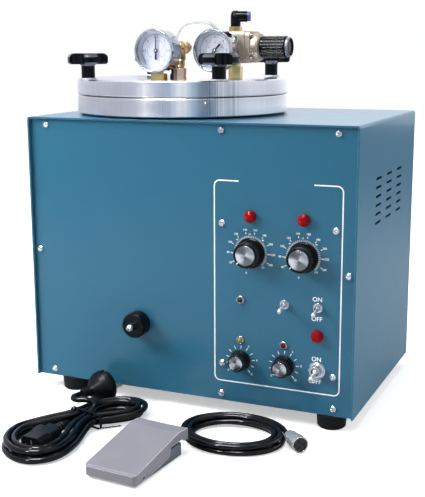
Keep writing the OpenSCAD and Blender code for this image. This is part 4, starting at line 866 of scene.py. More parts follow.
RUBBER = Finish("foot_rubber", "#0e0e10", "#161618", 0.5, specular=0.12, grain=1600,
                relief=0.00003, worn="#343437", dust=0.15)
RED_SEAL = Finish("red_silicone", "#a8392a", "#8f2e22", 0.45, dust=0.2)
WASHER = Finish("washer_plate", "#e6e6e4", "#cfd0cf", 0.3, metallic=0.6, grain=600,
                worn="#ffffff")
CHAMPAGNE = Finish("champagne_casting", "#a89b8c", "#94877a", 0.42, metallic=0.5, grain=1300,
                   relief=0.00003, edge=0.0008, worn="#efe6da", wear=0.6)
PEDAL_TOP = Finish("pedal_enamel", "#85828b", "#7d7b84", 0.36, specular=0.3, relief=0.00004,
                   edge=0.0013, worn="#f0f0f5", wear=1.0, dust=0.15)
PEDAL_BASE = Finish("pedal_casting", "#6b7078", "#5c626b", 0.45, specular=0.3, grain=800,
                    relief=0.00006, edge=0.0008, worn="#a9afb8", wear=0.5, dust=0.2)
JACKET = Finish("cord_jacket", "#060608", "#0b0c10", 0.13, specular=0.24, grain=350,
                edge=0.0002, dust=0.02)
INK = Finish("screen_ink", "#fdffff", "#f6fcff", 0.5, grain=2500, relief=0.00001, edge=0.00003)
INNER_STEEL = Finish("band_steel", "#a8a49c", "#8d8981", 0.4, metallic=1.0)
DIAL = Finish("dial_enamel", "#e6eaf6", "#d8ddee", 0.35, specular=0.2, grain=600,
              relief=0.000004, edge=0.0001, dust=0.02)
BLUE_MARK = Finish("dial_blue", "#5a6fb4", "#4b609f", 0.5, edge=0.00003)
RED_MARK = Finish("dial_red", "#c0606f", "#ad4f60", 0.5, edge=0.00003)
GREY_MARK = Finish("dial_grey", "#3c414e", "#4a505e", 0.5, edge=0.00003)
NEEDLE = Finish("needle_enamel", "#08090b", "#101114", 0.35, specular=0.2, edge=0.00006)
GLASS = ClearFinish("gauge_glass", "#dfe8f0", "#c9d3dc", 0.02, coat=0.6, coat_roughness=0.02,
                    grain=60, relief=0.000002, clear=0.985)
# The hose's second colour is the painted shade on its edge-on rim.
HOSE = ClearFinish("clear_tubing", "#e9eef2", "#76828c", 0.08, coat=0.6, grain=300,
                   relief=0.0, clear=0.5)
RED_LENS = LensFinish("red_lens_facets", "#a6060b", "#4c0205", 0.05, relief=0.0001,
                      facet=640)
RIM_PLATE = Finish("led_rim_plate", "#a9acb0", "#8c9094", 0.2, metallic=0.95, grain=500,
                   edge=0.0003, worn="#e9ebed", wear=0.7)


PIN_STEEL = Finish("pin_steel", "#5c6066", "#4a4e54", 0.35, metallic=1.0)
LINE_NUT = Region((-27.4, 56.0, LID_TOP), (0.0, 0.0, 1.0), (-2.0, 12.45), (-1.0, 20.0),
                  "#e6c3ad", 1.0, 0.16)
LINE_BRASS = Finish("vacuum_line_brass", "#d9ba88", "#c29f69", 0.22, metallic=1.0, grain=500,
                    relief=0.00001, worn="#f7e3c0", wear=0.6, region=LINE_NUT)
SWITCH_HOUSING = Region((0.0, PANEL_Y + 1.9, 0.0), (0.0, 1.0, 0.0), (0.0, 80.0),
                        (-1.0, 900.0), "#22252a", 0.0, 0.45)
SWITCH = Finish("switch_bush", "#c6c9cd", "#aeb2b7", 0.2, metallic=1.0, grain=600,
                worn="#eceef0", region=SWITCH_HOUSING)
BOARD_PARTS = Region((110.0, PANEL_Y + 16.0, 120.0), (0.0, 1.0, 0.0), (0.3, 60.0),
                     (-1.0, 900.0), "#26282c", 0.0, 0.4)
BOARD = Finish("board_laminate_parts", "#2f6b3f", "#285c36", 0.4, grain=1500,
               region=BOARD_PARTS)
SOCKET_INSERT = Region((60.0, REAR_Y, FOOT_H + 60.0), (0.0, 1.0, 0.0), (-4.2, -0.5),
                       (-1.0, 6.55), "#1a1b1e", 0.0, 0.4)
SOCKET = Finish("socket_plate", "#c4c7ca", "#a9adb1", 0.22, metallic=1.0, grain=600,
                worn="#eceef0", region=SOCKET_INSERT)

DRESSED = (
    (TEAL, "cabinet_cover", "front_panel", "rear_panel"),
    (ZINC, "base_plate"),
    (SCREW, "panel_screws"),
    (RUBBER, "rubber_feet", "flange_gasket"),
    (ALUMINIUM, "wax_pot", "pot_lid"),
    (RED_SEAL, "lid_gasket"),
    (INNER_STEEL, "heater_band"),
    (WASHER, "lid_washers"),
    (PHENOLIC, "star_knob_front_right", "star_knob_rear_right", "star_knob_rear_left",
     "star_knob_front_left"),
    (GAUGE_CASE, "gauge_cases"),
    (DIAL, "gauge_dials"),
    (GLASS, "gauge_glasses"),
    (BRASS, "gauge_movements", "gauge_sockets", "regulator_fittings", "valve_block",
     "vacuum_port"),
    (NEEDLE, "left_needle", "right_needle"),
    (CHAMPAGNE, "regulator_body", "regulator_bonnet"),
    (KNOB, "regulator_knob", "pot_temp_knob", "valve_temp_knob", "vacuum_time_knob",
     "injection_time_knob", "nozzle_collar"),
    (PLASTIC, "inlet_elbow", "hose_fittings", "power_inlet", "pedal_switch"),
    (LINE_BRASS, "vacuum_elbow"),
    (LEVER, "auto_lever", "vacuum_lever", "power_lever"),
    (CHROME, "switch_nuts", "nozzle_tip"),
    (SWITCH, "switch_bodies"),
    (RED_LENS, "neon_lamps"),
    (BOARD, "control_board"),
    (SOCKET, "pedal_socket"),
    (PEDAL_TOP, "pedal_treadle"),
    (PEDAL_BASE, "pedal_base"),
    (PIN_STEEL, "pedal_pin"))


def dress(finish: Finish, *nodes: str) -> None:
    """Gives CAD nodes a finish."""
    for name in nodes:
        node = frame["nodes"][name]
        if not node.material_slots:
            node.data.materials.append(None)
        for place in node.material_slots:
            place.material = finish.material()
        log.info("%s: %s", name, finish.name)


# ------------------------------------------------------------------ studio

WHITE, BLACK = (1.0, 1.0, 1.0), (0.0, 0.0, 0.0)
WALLS = (
    (0.0, "#dcdce4"), (0.17, "#c4c5d0"), (0.33, "#bfc1ce"), (0.383, "#b8bbc9"),
    (0.398, "#8a8da2"), (0.417, "#a9b0c4"), (0.453, "#7f97b6"), (0.47, "#b8c8e0"),
    (0.489, "#f0f6fc"), (0.508, "#e6eef8"), (0.528, "#9ab4d0"), (0.547, "#6f8ca6"),
    (0.564, "#54687f"), (0.586, "#66788e"), (0.603, "#d6dce6"), (0.64, "#cfd2dc"),
    (0.72, "#e2e3eb"), (0.86, "#e6e8ef"), (1.0, "#f4f6fa"))


@dataclass
class Studio:
    """The camera, the floor and the plain soft light."""

    camera_at: Point = (433.41, -910.93, 389.58)
    yaw: float = 23.6368
    pitch: float = -11.7468
    roll: float = 0.2486
    focus_px: float = 968.04
    long_side_px: float = 497.0
    sensor: float = 36.0
    floor_half: float = 4.0
    floor_tones: tuple[Point, Point] = ((0.90, 0.90, 0.90), (0.93, 0.93, 0.93))
    floor_mirrored: Point = (0.5, 0.52, 0.55)
    floor_soft: Point = (0.75, 0.75, 0.75)
    walls_gain: Point = (1.3, 1.3, 1.3)
    ceiling: Point = (0.95, 0.96, 0.98)
    sky: Point = (0.24, 0.25, 0.27)

    def camera(self) -> None:
        """Stands the camera where the photograph was taken from."""
        yaw, pitch, roll = (math.radians(a) for a in (self.yaw, self.pitch, self.roll))
        turned = Matrix.Rotation(yaw, 3, "Z") @ Matrix.Rotation(pitch, 3, "X")
        turned = turned @ Matrix.Rotation(roll, 3, "Y") @ Matrix.Rotation(math.pi / 2, 3, "X")
        lens = bpy.data.cameras.new("view")
        lens.sensor_width = self.sensor
        lens.lens = self.focus_px * self.sensor / self.long_side_px
        lens.clip_start, lens.clip_end = 0.05, 50.0
        made = bpy.data.objects.new("view", lens)
        made.matrix_world = Matrix.Translation(in_frame(self.camera_at)) @ turned.to_4x4()
        bpy.context.scene.collection.objects.link(made)
        bpy.context.scene.camera = made

    def floor(self) -> None:
        """A pale floor that keeps the object's shadow.

        It glows to white far off, and is darker in reflections and for soft light.
        """
        made = bpy.data.materials.new("pale_floor")
        made.use_nodes = True
        made.node_tree.nodes.clear()
        w = Wiring(made.node_tree)
        cloud = w.noise(w.where(), 3.0)
        colour = w.mix(cloud, *self.floor_tones)
        path = w.node("LightPath").outputs
        colour = w.mix(path["Is Glossy Ray"], colour, self.floor_mirrored)
        colour = w.mix(path["Is Diffuse Ray"], colour, self.floor_soft)
        glow = w.span(w.vector("LENGTH", w.where()), 0.45, 1.3, 0.45, 1.0)
        glow = w.math("MULTIPLY", path["Is Camera Ray"], glow)
        Finish.close(w, {"Base Color": colour, "Roughness": 0.9, "Specular IOR Level": 0.0,
                         "Emission Color": w.mix(glow, BLACK, WHITE), "Emission Strength": 1.0})
        h = self.floor_half
        mesh = bpy.data.meshes.new("floor")
        mesh.from_pydata([(-h, -h, 0), (h, -h, 0), (h, h, 0), (-h, h, 0)], [], [(0, 1, 2, 3)])
        mesh.materials.append(made)
        ground = bpy.data.objects.new("floor", mesh)
        ground.location.z = -0.0004
        bpy.context.scene.collection.objects.link(ground)
        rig.stage(ground)

    @staticmethod
    def lamp(name: str, at: Point, aim: Point, size: Flat, power: float,
             mirrored: bool = True, soft: bool = True) -> None:
        """A soft area lamp.

        Args:
            name: its name.
            at: where it stands, in metres.
            aim: the point that it faces.
            size: its width and height, in metres.
            power: in watts.
            mirrored: whether shiny surfaces show it.
            soft: whether it lights dull surfaces too.
        """
        light = bpy.data.lights.new(name, "AREA")
        light.shape, light.size, light.size_y = "RECTANGLE", *size
        light.energy = power
        made = bpy.data.objects.new(name, light)
        made.location = at
        made.rotation_mode = "QUATERNION"
        made.rotation_quaternion = (Vector(aim) - Vector(at)).to_track_quat("-Z", "Y")
        made.visible_glossy = mirrored
        made.visible_diffuse = soft
        bpy.context.scene.collection.objects.link(made)

    def lamps(self) -> None:
        """A big soft lamp above, one at each side, and two narrow ones for highlights."""
        self.lamp("top", (-0.1, 0.0, 1.5), (0, 0, 0.25), (1.1, 1.1), 17, False)
        self.lamp("right", (1.7, 0.5, 0.8), (0.1, 0, 0.15), (1.2, 1.4), 19, False)
        self.lamp("left_front", (-1.0, -0.55, 0.9), (-0.17, 0, 0.2), (0.6, 0.6), 24, False)
        self.lamp("window", (-0.5, -1.5, 1.2), (0, 0, 0.2), (0.2, 0.3), 20, soft=False)
        self.lamp("strip", (-0.1, -0.5, 1.5), (0, 0, 0.1), (0.8, 0.25), 48, soft=False)

    def world(self) -> None:
        """White for the camera, an even grey for soft light, and studio walls in reflections.

        The walls darken a little behind where the photograph was taken from, with one
        bright window there, so that turned metal shows its upright bands.
        """
        world = bpy.data.worlds.new("studio")
        bpy.context.scene.world = world
        world.use_nodes = True
        world.node_tree.nodes.clear()
        w = Wiring(world.node_tree)
        gaze = w.node("TexCoord").outputs["Generated"]
        x, y = (c - p for c, p in zip(self.camera_at[:2], POT_AXIS))
        heading = unit((x, y, 0))
        aside = Vector((-heading.y, heading.x, 0))
        turn = w.math("ARCTAN2", w.vector("DOT_PRODUCT", gaze, aside),
                      w.vector("DOT_PRODUCT", gaze, heading))
        place = w.span(turn, -math.pi, math.pi)
        walls = w.node("ValToRGB", {0: place})
        ramp = walls.color_ramp
        while len(ramp.elements) < len(WALLS):
            ramp.elements.new(0.5)
        for element, (at, code) in zip(ramp.elements, WALLS):
            element.position = at
            element.color = (*rgb(code), 1.0)
        up = w.node("SeparateXYZ", {0: gaze}).outputs[2]
        lit = w.vector("MULTIPLY", walls.outputs[0], self.walls_gain)
        studio = w.mix(w.span(up, 0.45, 0.8), lit, self.ceiling)
        path = w.node("LightPath").outputs
        mirrored = w.math("MAXIMUM", path["Is Glossy Ray"], path["Is Transmission Ray"])
        colour = w.mix(mirrored, self.sky, studio)
        colour = w.mix(path["Is Camera Ray"], colour, WHITE)
        back = w.node("Background", {0: colour, 1: 1.0})
        w.tree.links.new(back.outputs[0], w.node("OutputWorld").inputs[0])

    def build(self) -> None:
        """Sets up all of it."""
        bpy.context.scene.view_settings.view_transform = "Standard"
        self.camera()
        self.floor()
        self.lamps()
        self.world()


# ------------------------------------------------------------------ leads


@dataclass
class Cord:
    """What every lead and hose is: one tube along a line."""

    diameter: float

    def tube(self, line: list[Vector], name: str, body: str, finish: Finish, slot: Slot,
             sides: int = 14) -> bpy.types.Object:
        """Makes the tube.

        Args:
            line: the points down its middle.
            name: the piece's name.
            body: the body that it moves with.
            finish: its finish.
            slot: the record's slot that the finish belongs to.
            sides: how many flats its round has.

        Returns:
            The new object.
        """
        shape = Shape()
        shape.tube(line, self.diameter / 2, sides)
        return shape.piece(name, body, finish, slot, 60)


@dataclass
class PedalLead(Cord):
    """The pedal's lead: a free stretch, a coil of two layers and its screw-ring plug."""

    diameter: float = 5.3
    corner: Flat = (45.3, -198.6)
    turned: float = 5.0
    gland: Point = (-20.0, 85.5, 3.2)
    middle: Flat = (81.0, -57.0)
    radii: Flat = (55.0, 45.0)
    turns: float = 4.44
    start: float = 184.0
    rings: int = 24
    lane: float = 6.15
    storey: float = 6.05
    free: tuple[Point, ...] = ((30.5, -96, 3), (28, -86, 2.7), (25, -76, 2.65))
    leave: Point = (6.5, -9.5, 0.3)
    plug_azimuth: float = -46.0
    sleeve: float = 17.0

    def gland_mouth(self) -> Vector:
        """Where the lead leaves the pedal."""
        x, y, z = self.gland
        c, s, _ = level(self.turned)
        return Vector((self.corner[0] + x * c + y * s, self.corner[1] - x * s + y * c, z))

    def turn_point(self, t: float) -> Vector:
        """A point of the coil after t turns."""
        half = self.turns / 2
        inward = self.lane * (half - abs(t - half))
        c, s, _ = level(self.start - 360 * t)
        z = self.diameter / 2 + self.storey * climb(t, half - 0.3, half + 0.3)
        return Vector((self.middle[0] + (self.radii[0] - inward) * c,
                       self.middle[1] + (self.radii[1] - inward) * s, z))

    def route(self) -> list[Vector]:
        """The whole way from the gland to the plug."""
        d = self.diameter
        coil = [self.turn_point(i / self.rings)
                for i in range(int(self.turns * self.rings) + 1)]
        into = unit(coil[1] - coil[0])
        into = Vector((into.x, into.y, 0)) * d
        first = coil[0] - into
        mouth = self.gland_mouth()
        out = mouth + 8 * level(90 - self.turned)
        leave = coil[-1] + Vector(self.leave)
        end = leave + d * level(self.plug_azimuth)
        return [mouth, out, *map(Vector, self.free), first - into, first, *coil, leave, end]

    def build(self) -> None:
        """The lead in one tube, declared as a cord."""
        line = spline(self.route(), 3)
        lead = self.tube(line, "pedal_lead", "root", JACKET, Slot.CORD_BLACK)
        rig.replaces(lead, "pedal_cord_lead", "pedal_cord_coil")
        path = [in_frame(p) for p in line]
        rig.cord(lead, exit=tuple(path[0]), length=line_length(line) * MM,
                diameter=self.diameter * MM, far_end="plug", stiffness="medium",
                lay="coiled", path=path, with_pieces=[frame["nodes"]["pedal_plug"]])
        log.info("pedal lead: %.0f mm", line_length(line))
        self.dress(line[-1])

    def dress(self, tail: Vector) -> None:
        """Bright sleeve and ring, black insert."""
        insert = Region(tuple(tail), tuple(level(self.plug_azimuth)),
                        (self.sleeve + 2.6, 60.0), (-1.0, 6.6), "#0b0c0e", 0.0, 0.3)
        plug = Finish("plug_plate", "#f0f1f2", "#d5d8db", 0.24, metallic=0.8, grain=500,
                      relief=0.000006, edge=0.0003, worn="#ffffff", region=insert)
        dress(plug, "pedal_plug")


@dataclass
class MainsLead(Cord):
    """The mains lead: a hank of four loops in two layers with its connector, plug and tie."""

    diameter: float = 6.4
    middle: Flat = (-68.0, -106.0)
    azimuth: float = 74.0
    half: float = 73.0
    bow: float = -16.0
    widths: tuple[float, float, float] = (26.0, 2.2, 12.0)
    waist: float = 20.0
    loops: int = 4
    rings: int = 24
    start: float = 78.55
    crowding: float = 11.5
    tie_t: float = 1.0
    connector_at: Point = (-10, -0.5, 8)
    connector_aim: Point = (-64, 0, 8)
    entry: Point = (6.5, 1.3, 4.7)
    rise: tuple[Point, ...] = ((27, 0.6, 13.4), (33.5, -2, 16.2), (40, -8.5, 18.2))
    bend: tuple[Point, ...] = ((-88.5, -61.5, 18.6), (-95.5, -65.2, 18.6),
                               (-102.3, -63.2, 18.5), (-104.8, -58, 18.5))
    plug_tail: Point = (-101.5, -46.2, 18.5)
    plug_azimuth: float = 70.0
    lane: float = 7.7
    storey: float = 7.1
    tie_end: float = 24.0
    tie_ease: float = 2.6
    tie_corner: float = 3.5

    def place(self, s: float, across: float, z: float) -> Vector:
        """A point of the hank's own frame: s along it, across it, and its height."""
        c, n, _ = level(self.azimuth)
        q = across + self.bow * (1 - (s / self.half) ** 2)
        return Vector((self.middle[0] + s * c + q * n, self.middle[1] + s * n - q * c, z))

    def width(self, s: float) -> float:
        """Half the width inside the innermost strand."""
        front, waist, rear = self.widths
        if s < self.waist:
            return front + (waist - front) * climb((s + 50) / (self.waist + 50), 0, 1)
        return waist + (rear - waist) * climb((s - self.waist) / 34, 0, 1)

    def inner(self, degrees: float) -> Vector:
        """The innermost strand at an angle round the loop."""
        c, n, _ = level(degrees)
        s = self.half * c
        round_off = math.sqrt(max(0.0, 1 - abs(c) ** (12 if c > 0 else 6)))
        return self.place(s, self.width(s) * round_off * (1 if n > 0 else -1), 0)

    def turn_point(self, t: float) -> Vector:
        """A point of the hank after t loops."""
        turn = self.start - 360 * t
        a = turn - self.crowding * math.sin(math.radians(2 * turn))
        along = unit(self.inner(a - 1) - self.inner(a + 1))
        mid = self.loops / 2
        lane = self.lane * (mid - abs(t - mid))
        s = self.half * math.cos(math.radians(a))
        rise = (self.tie_t + 0.2) * (1 - climb(abs(s - self.waist), 6, 40))
        z = self.diameter / 2 + rise + self.storey * climb(t, mid - 0.27, mid + 0.23)
        at = self.inner(a)
        return Vector((at.x + along.y * lane, at.y - along.x * lane, z))

    def connector(self) -> tuple[Vector, Vector]:
        """Where the connector's lead goes in, and the way that it faces."""
        at = self.place(*self.connector_at)
        return at, unit(self.place(*self.connector_aim) - at)

    def route(self) -> list[Vector]:
        """The whole way from the connector to the plug."""
        connector, into = self.connector()
        body = [self.turn_point(i / self.rings) for i in range(self.loops * self.rings + 1)]
        tail = Vector(self.plug_tail)
        rise = [self.place(*p) for p in self.rise]
        return [connector, connector - self.diameter * into, self.place(*self.entry), *body,
                *rise, *map(Vector, self.bend),
                tail - self.diameter * level(self.plug_azimuth), tail]

    def build(self) -> None:
        """The lead, its tie and its ends."""
        line = spline(self.route(), 3)
        lead = self.tube(line, "mains_lead", "root", JACKET, Slot.CORD_BLACK)
        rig.replaces(lead, "mains_cord_hank")
        tie = self.tie()
        nodes = frame["nodes"]
        path = [in_frame(p) for p in line]
        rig.cord(lead, exit=tuple(path[0]), length=line_length(line) * MM,
                diameter=self.diameter * MM, far_end="plug", stiffness="medium",
                lay="coiled", path=path,
                with_pieces=[nodes["mains_connector"], nodes["mains_plug"], tie])
        log.info("mains lead: %.0f mm", line_length(line))
        self.dress()

    def tie(self) -> bpy.types.Object:
        """The flat wire tie round the waist and its twisted loose end."""
        d, t, r, count = self.diameter, self.tie_t, self.tie_corner, 40
        left = self.widths[1] + 1.5 * self.lane + d / 2 + self.tie_ease
        right = left + 0.5 * self.lane
        tall = self.storey + d + 0.8
        c, n, _ = level(self.azimuth)
        mid = self.place(self.waist, (right - left) / 2, t + tall / 2)
        hoop = turned_frame(mid, (n, -c, 0), (0, 0, 1), (-c, -n, 0))
        wide, high = (left + right + t) / 2, (tall + t) / 2
        outline = []
        for k in range(count):
            a = 2 * math.pi * k / count
            outline.append((math.copysign(wide - r, math.cos(a)) + r * math.cos(a),
                            math.copysign(high - r, math.sin(a)) + r * math.sin(a)))
        shape = Shape()
        for i in range(count):
            (ax, ay), (bx, by) = outline[i], outline[(i + 1) % count]
            shape.stroke([(ax, ay), (bx, by)], t * 0.9, -1.4, 1.4, hoop)
        ahead, aside = level(self.azimuth - 32), level(self.azimuth + 58)
        root = self.place(self.waist, right - 3, 0.8)
        for side in (0, math.pi):
            strand = []
            for k in range(49):
                s = k / 48
                a = side + s * 7 * math.pi
                reach = 0.36 * math.cos(a) * aside + 0.36 * math.sin(a) * Vector((0, 0, 1))
                strand.append(root + s * self.tie_end * ahead + reach)
            shape.tube(strand, 0.4, 8)
        made = shape.piece("twist_tie", "root", PLASTIC, Slot.CORD_BLACK)
        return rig.replaces(made, "cord_tie")

    def dress(self) -> None:
        """Soft black mouldings; the plug's pins are plated."""
        pins = Region(self.plug_tail, tuple(level(self.plug_azimuth)), (34.62, 60.0),
                      (-1.0, 30.0), "#cfc9b4", 1.0, 0.2)
        dress(Finish("plug_moulding", "#0c0d10", "#121317", 0.34, specular=0.12, grain=700,
                     relief=0.00003, edge=0.0008, worn="#565a61", wear=0.6, dust=0.03,
                     region=pins), "mains_plug")
        dress(Finish("connector_moulding", "#0c0d10", "#121418", 0.3, specular=0.12,
                     grain=700, relief=0.00003, edge=0.0008, worn="#5e636b", wear=0.6,
                     dust=0.03), "mains_connector")
        self.contacts()
        self.ribs()

    def contacts(self) -> None:
        """Pale contact mouths in the connector's three slots."""
        at, ahead = self.connector()
        nose = along_bench(at, math.degrees(math.atan2(ahead.y, ahead.x)))
        shape = Shape()
        for x, y in ((2, -7), (2, 7), (-2, 0)):
            w, h = 1.9, 0.95
            outline = [(x - w, y - h), (x + w, y - h), (x + w, y + h), (x - w, y + h)]
            shape.prism(outline, 50.6, 53.2, nose)
        metal = Finish("contact_spring", "#d9d6cf", "#c4c0b6", 0.3, metallic=0.6, edge=0.0002)
        shape.piece("connector_contacts", "root", metal, Slot.TURNED_ALUMINIUM)

    def ribs(self) -> None:
        """Raised rings on the plug's tapered strain relief."""
        place = along_bench(self.plug_tail, self.plug_azimuth)
        shape = Shape()
        for k in range(6):
            z = 0.8 + 1.9 * k
            r = 4.2 + 0.8 * min(z, 9) / 9 + max(0.0, z - 9) * 0.5
            shape.lathe([(r - 0.4, z - 0.6), (r + 0.55, z - 0.45), (r + 0.7, z),
                         (r + 0.55, z + 0.45), (r - 0.4, z + 0.6), (r - 0.4, z - 0.6)],
                        place, 40)
        shape.piece("plug_relief_rings", "root", PLASTIC, Slot.CORD_BLACK)


@dataclass
class ClearHose(Cord):
    """The clear hose over the lid, pushed in at both ends."""

    diameter: float = 4.0
    route: tuple[Point, ...] = (
        (-38, 66, 20), (-38, 66, 24), (-38, 66, 34), (-36.5, 66.3, 44), (-33, 67, 52.5),
        (-27, 68.5, 58.5), (-20, 71.5, 61), (-14, 77, 61.5), (-10.5, 84, 61.5),
        (-9, 92, 61), (-8.2, 100, 59), (-7.6, 107.5, 55.5), (-7.2, 113.5, 51),
        (-13, 118, 47.5), (-13, 118, 43.5))

    def build(self) -> None:
        """One tube, held by the object at both ends."""
        line = spline([Vector((x, y, LID_TOP + z)) for x, y, z in self.route], 4)
        hose = self.tube(line, "air_hose", "lid", HOSE, Slot.CLEAR_HOSE, 16)
        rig.replaces(hose, "clear_hose")
        path = [in_frame(p) for p in line]
        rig.cord(hose, exit=tuple(path[0]), length=line_length(line) * MM,
                diameter=self.diameter * MM, far_end="object", stiffness="stiff",
                lay="loose", path=path)
        log.info("clear hose: %.0f mm", line_length(line))


# ------------------------------------------------------------------ print on the panel


@dataclass
class PanelPrint:
    """The pale lines, scales and plain figures printed on the front panel."""

    frame_x: Flat = (35.5, 174.0)
    frame_z: Flat = (23.0, 240.0)
    corner_r: float = 6.0
    line: float = 1.35
    gap_x: Flat = (62.7, 143.9)
    dials: tuple[Flat, ...] = ((76.0, 165.5), (133.5, 165.5))
    timers: tuple[Flat, ...] = ((65.0, 48.0), (114.0, 48.0))
    words: tuple[tuple[str, Flat], ...] = (
        ("ON", (149.3, 123.0)), ("OFF", (149.0, 102.4)),
        ("ON", (149.3, 59.6)), ("OFF", (149.2, 35.6)))
    word_size: float = 6.6

    def border(self, shape: Shape) -> None:
        """The rounded frame, open at the top where its heading is left bare."""
        (x0, x1), (z0, z1), r = self.frame_x, self.frame_z, self.corner_r
        line = [(self.gap_x[0], z1)]
        corners = ((x0 + r, z1 - r, 90), (x0 + r, z0 + r, 180), (x1 - r, z0 + r, 270),
                   (x1 - r, z1 - r, 360))
        for cx, cz, start in corners:
            for k in range(9):
                c, n, _ = level(start + 90 * k / 8)
                line.append((cx + r * c, cz + r * n))
        line.append((self.gap_x[1], z1))
        shape.stroke(line, self.line, 0.01, PRINT_T, on_panel(0, 0))

    @staticmethod
    def tick(shape: Shape, centre: Flat, degrees: float, reach: Flat, width: float) -> None:
        """A radial mark; degrees run clockwise from straight up."""
        line = [clock(r, degrees) for r in reach]
        shape.stroke(line, width, 0.01, PRINT_T, on_panel(*centre))

    @staticmethod
    def figure(shape: Shape, centre: Flat, degrees: float, r: float, text: str,
               size: float) -> None:
        """An upright number at a place round a knob."""
        shape.words(text, size, clock(r, degrees), on_panel(*centre), PRINT_T / 2)

    def dial(self, shape: Shape, centre: Flat) -> None:
        """A temperature scale: two rings of marks with plain numbers."""
        for k in range(42):
            major = k % 7 == 0
            self.tick(shape, centre, -140 + 6.6 * k, (16.3, 17.8 if major else 18.4), 0.6)
        for k in range(1, 7):
            self.figure(shape, centre, -140 + 46 * k, 19.8, str(20 * k), 2.4)
        for k in range(10):
            at = -118 + 26 * k
            self.tick(shape, centre, at, (20.3, 22.4), 0.7)
            self.figure(shape, centre, at, 24.9, str(60 + 20 * k), 3.1)
        self.figure(shape, centre, -168, 21.8, "0", 3.1)

    def timer(self, shape: Shape, centre: Flat) -> None:
        """A timer scale: longer marks with a few numbers."""
        for k in range(11):
            at = -132 + 27 * k
            self.tick(shape, centre, at, (13.2, 16.6), 0.8)
            if k in (6, 8, 10):
                self.figure(shape, centre, at, 18.9, str(k), 3.0)
        self.figure(shape, centre, -132, 18.6, "0", 3.0)

    def build(self) -> None:
        """All the print as three pieces."""
        lines, scales, words = Shape(), Shape(), Shape()
        self.border(lines)
        for centre in self.dials:
            self.dial(scales, centre)
        for centre in self.timers:
            self.timer(scales, centre)
        for text, at in self.words:
            words.words(text, self.word_size, at, on_panel(0, 0), PRINT_T / 2)
        lines.piece("panel_border", "root", INK)
        scales.piece("knob_scales", "root", INK)
        words.piece("switch_words", "root", INK)


# ------------------------------------------------------------------ gauges and regulator


@dataclass
class Gauge:
    """One gauge's printed dial: arcs, marks and plain numbers, and its hub cap."""

    name: str
    centre: Flat
    pointer: str
    numbers: tuple[str, ...]
    inner_numbers: tuple[str, ...]
    blue_share: float
    depth: float = 22.0
    dial_front: float = 14.5
    centre_z: float = 386.0
    low_stop: float = -135.0
    sweep: float = 270.0
    scale_r: float = 17.2
    minor: Flat = (17.4, 18.9)
    major: Flat = (17.4, 20.2)
    number_r: float = 14.2
    number_size: float = 3.6
    inner_scale_r: float = 10.8
    inner_number_r: float = 8.7
    inner_number_size: float = 2.3

    def face(self) -> Matrix:
        """The frame of the gauge: z out of its face, 0 at its back."""
        x, y = self.centre
        return turned_frame((x, y + self.depth, self.centre_z), (1, 0, 0), (0, 0, 1),
                            (0, -1, 0))

    def arc(self, shape: Shape, r: float, start: float, end: float, width: float) -> None:
        """A printed arc; degrees run clockwise from straight up."""
        count = max(4, int(abs(end - start) / 5))
        self.ink(shape, [clock(r, start + (end - start) * k / count)
                         for k in range(count + 1)], width)

    def ink(self, shape: Shape, line: list[Flat], width: float) -> None:
        """A printed line on the dial."""
        shape.stroke(line, width, self.dial_front + 0.005, self.dial_front + 0.05, self.face())

    def marks(self, shape: Shape, count: int, reach: Flat, width: float) -> None:
        """Marks spread over the gauge's sweep."""
        for k in range(count):
            at = self.low_stop + self.sweep * k / (count - 1)
            self.ink(shape, [clock(r, at) for r in reach], width)

    def figures(self, shape: Shape, texts: tuple[str, ...], r: float, size: float) -> None:
        """Numbers spread over the same sweep."""
        for k, text in enumerate(texts):
            at = clock(r, self.low_stop + self.sweep * k / (len(texts) - 1))
            shape.words(text, size, at, self.face(), self.dial_front + 0.03)

    def build(self) -> None:
        """The print and the hub cap."""
        black, blue, red = Shape(), Shape(), Shape()
        start, end = self.low_stop, self.low_stop + self.sweep
        turn = start + self.sweep * self.blue_share
        if self.blue_share:
            self.arc(blue, self.scale_r, start, turn, 0.7)
        self.arc(black, self.scale_r, turn, end, 0.35)
        self.marks(black, 6 * (len(self.numbers) - 1) + 1, self.minor, 0.28)
        self.marks(black, len(self.numbers), self.major, 0.5)
        self.figures(blue, self.numbers, self.number_r, self.number_size)
        self.arc(red, self.inner_scale_r, start, end, 0.25)
        self.figures(red, self.inner_numbers, self.inner_number_r, self.inner_number_size)
        black.piece(self.name + "_dial_marks", "lid", GREY_MARK, Slot.WHITE_DIAL)
        blue.piece(self.name + "_dial_numbers", "lid", BLUE_MARK, Slot.WHITE_DIAL)
        red.piece(self.name + "_dial_inner_numbers", "lid", RED_MARK, Slot.WHITE_DIAL)
        cap = Shape()
        cap.lathe([(0, 16.88), (1.25, 16.88), (1.25, 17.1), (0.9, 17.35), (0, 17.4)],
                  self.face(), 32)
        cap.piece(self.name + "_needle_cap", self.pointer, CHROME)


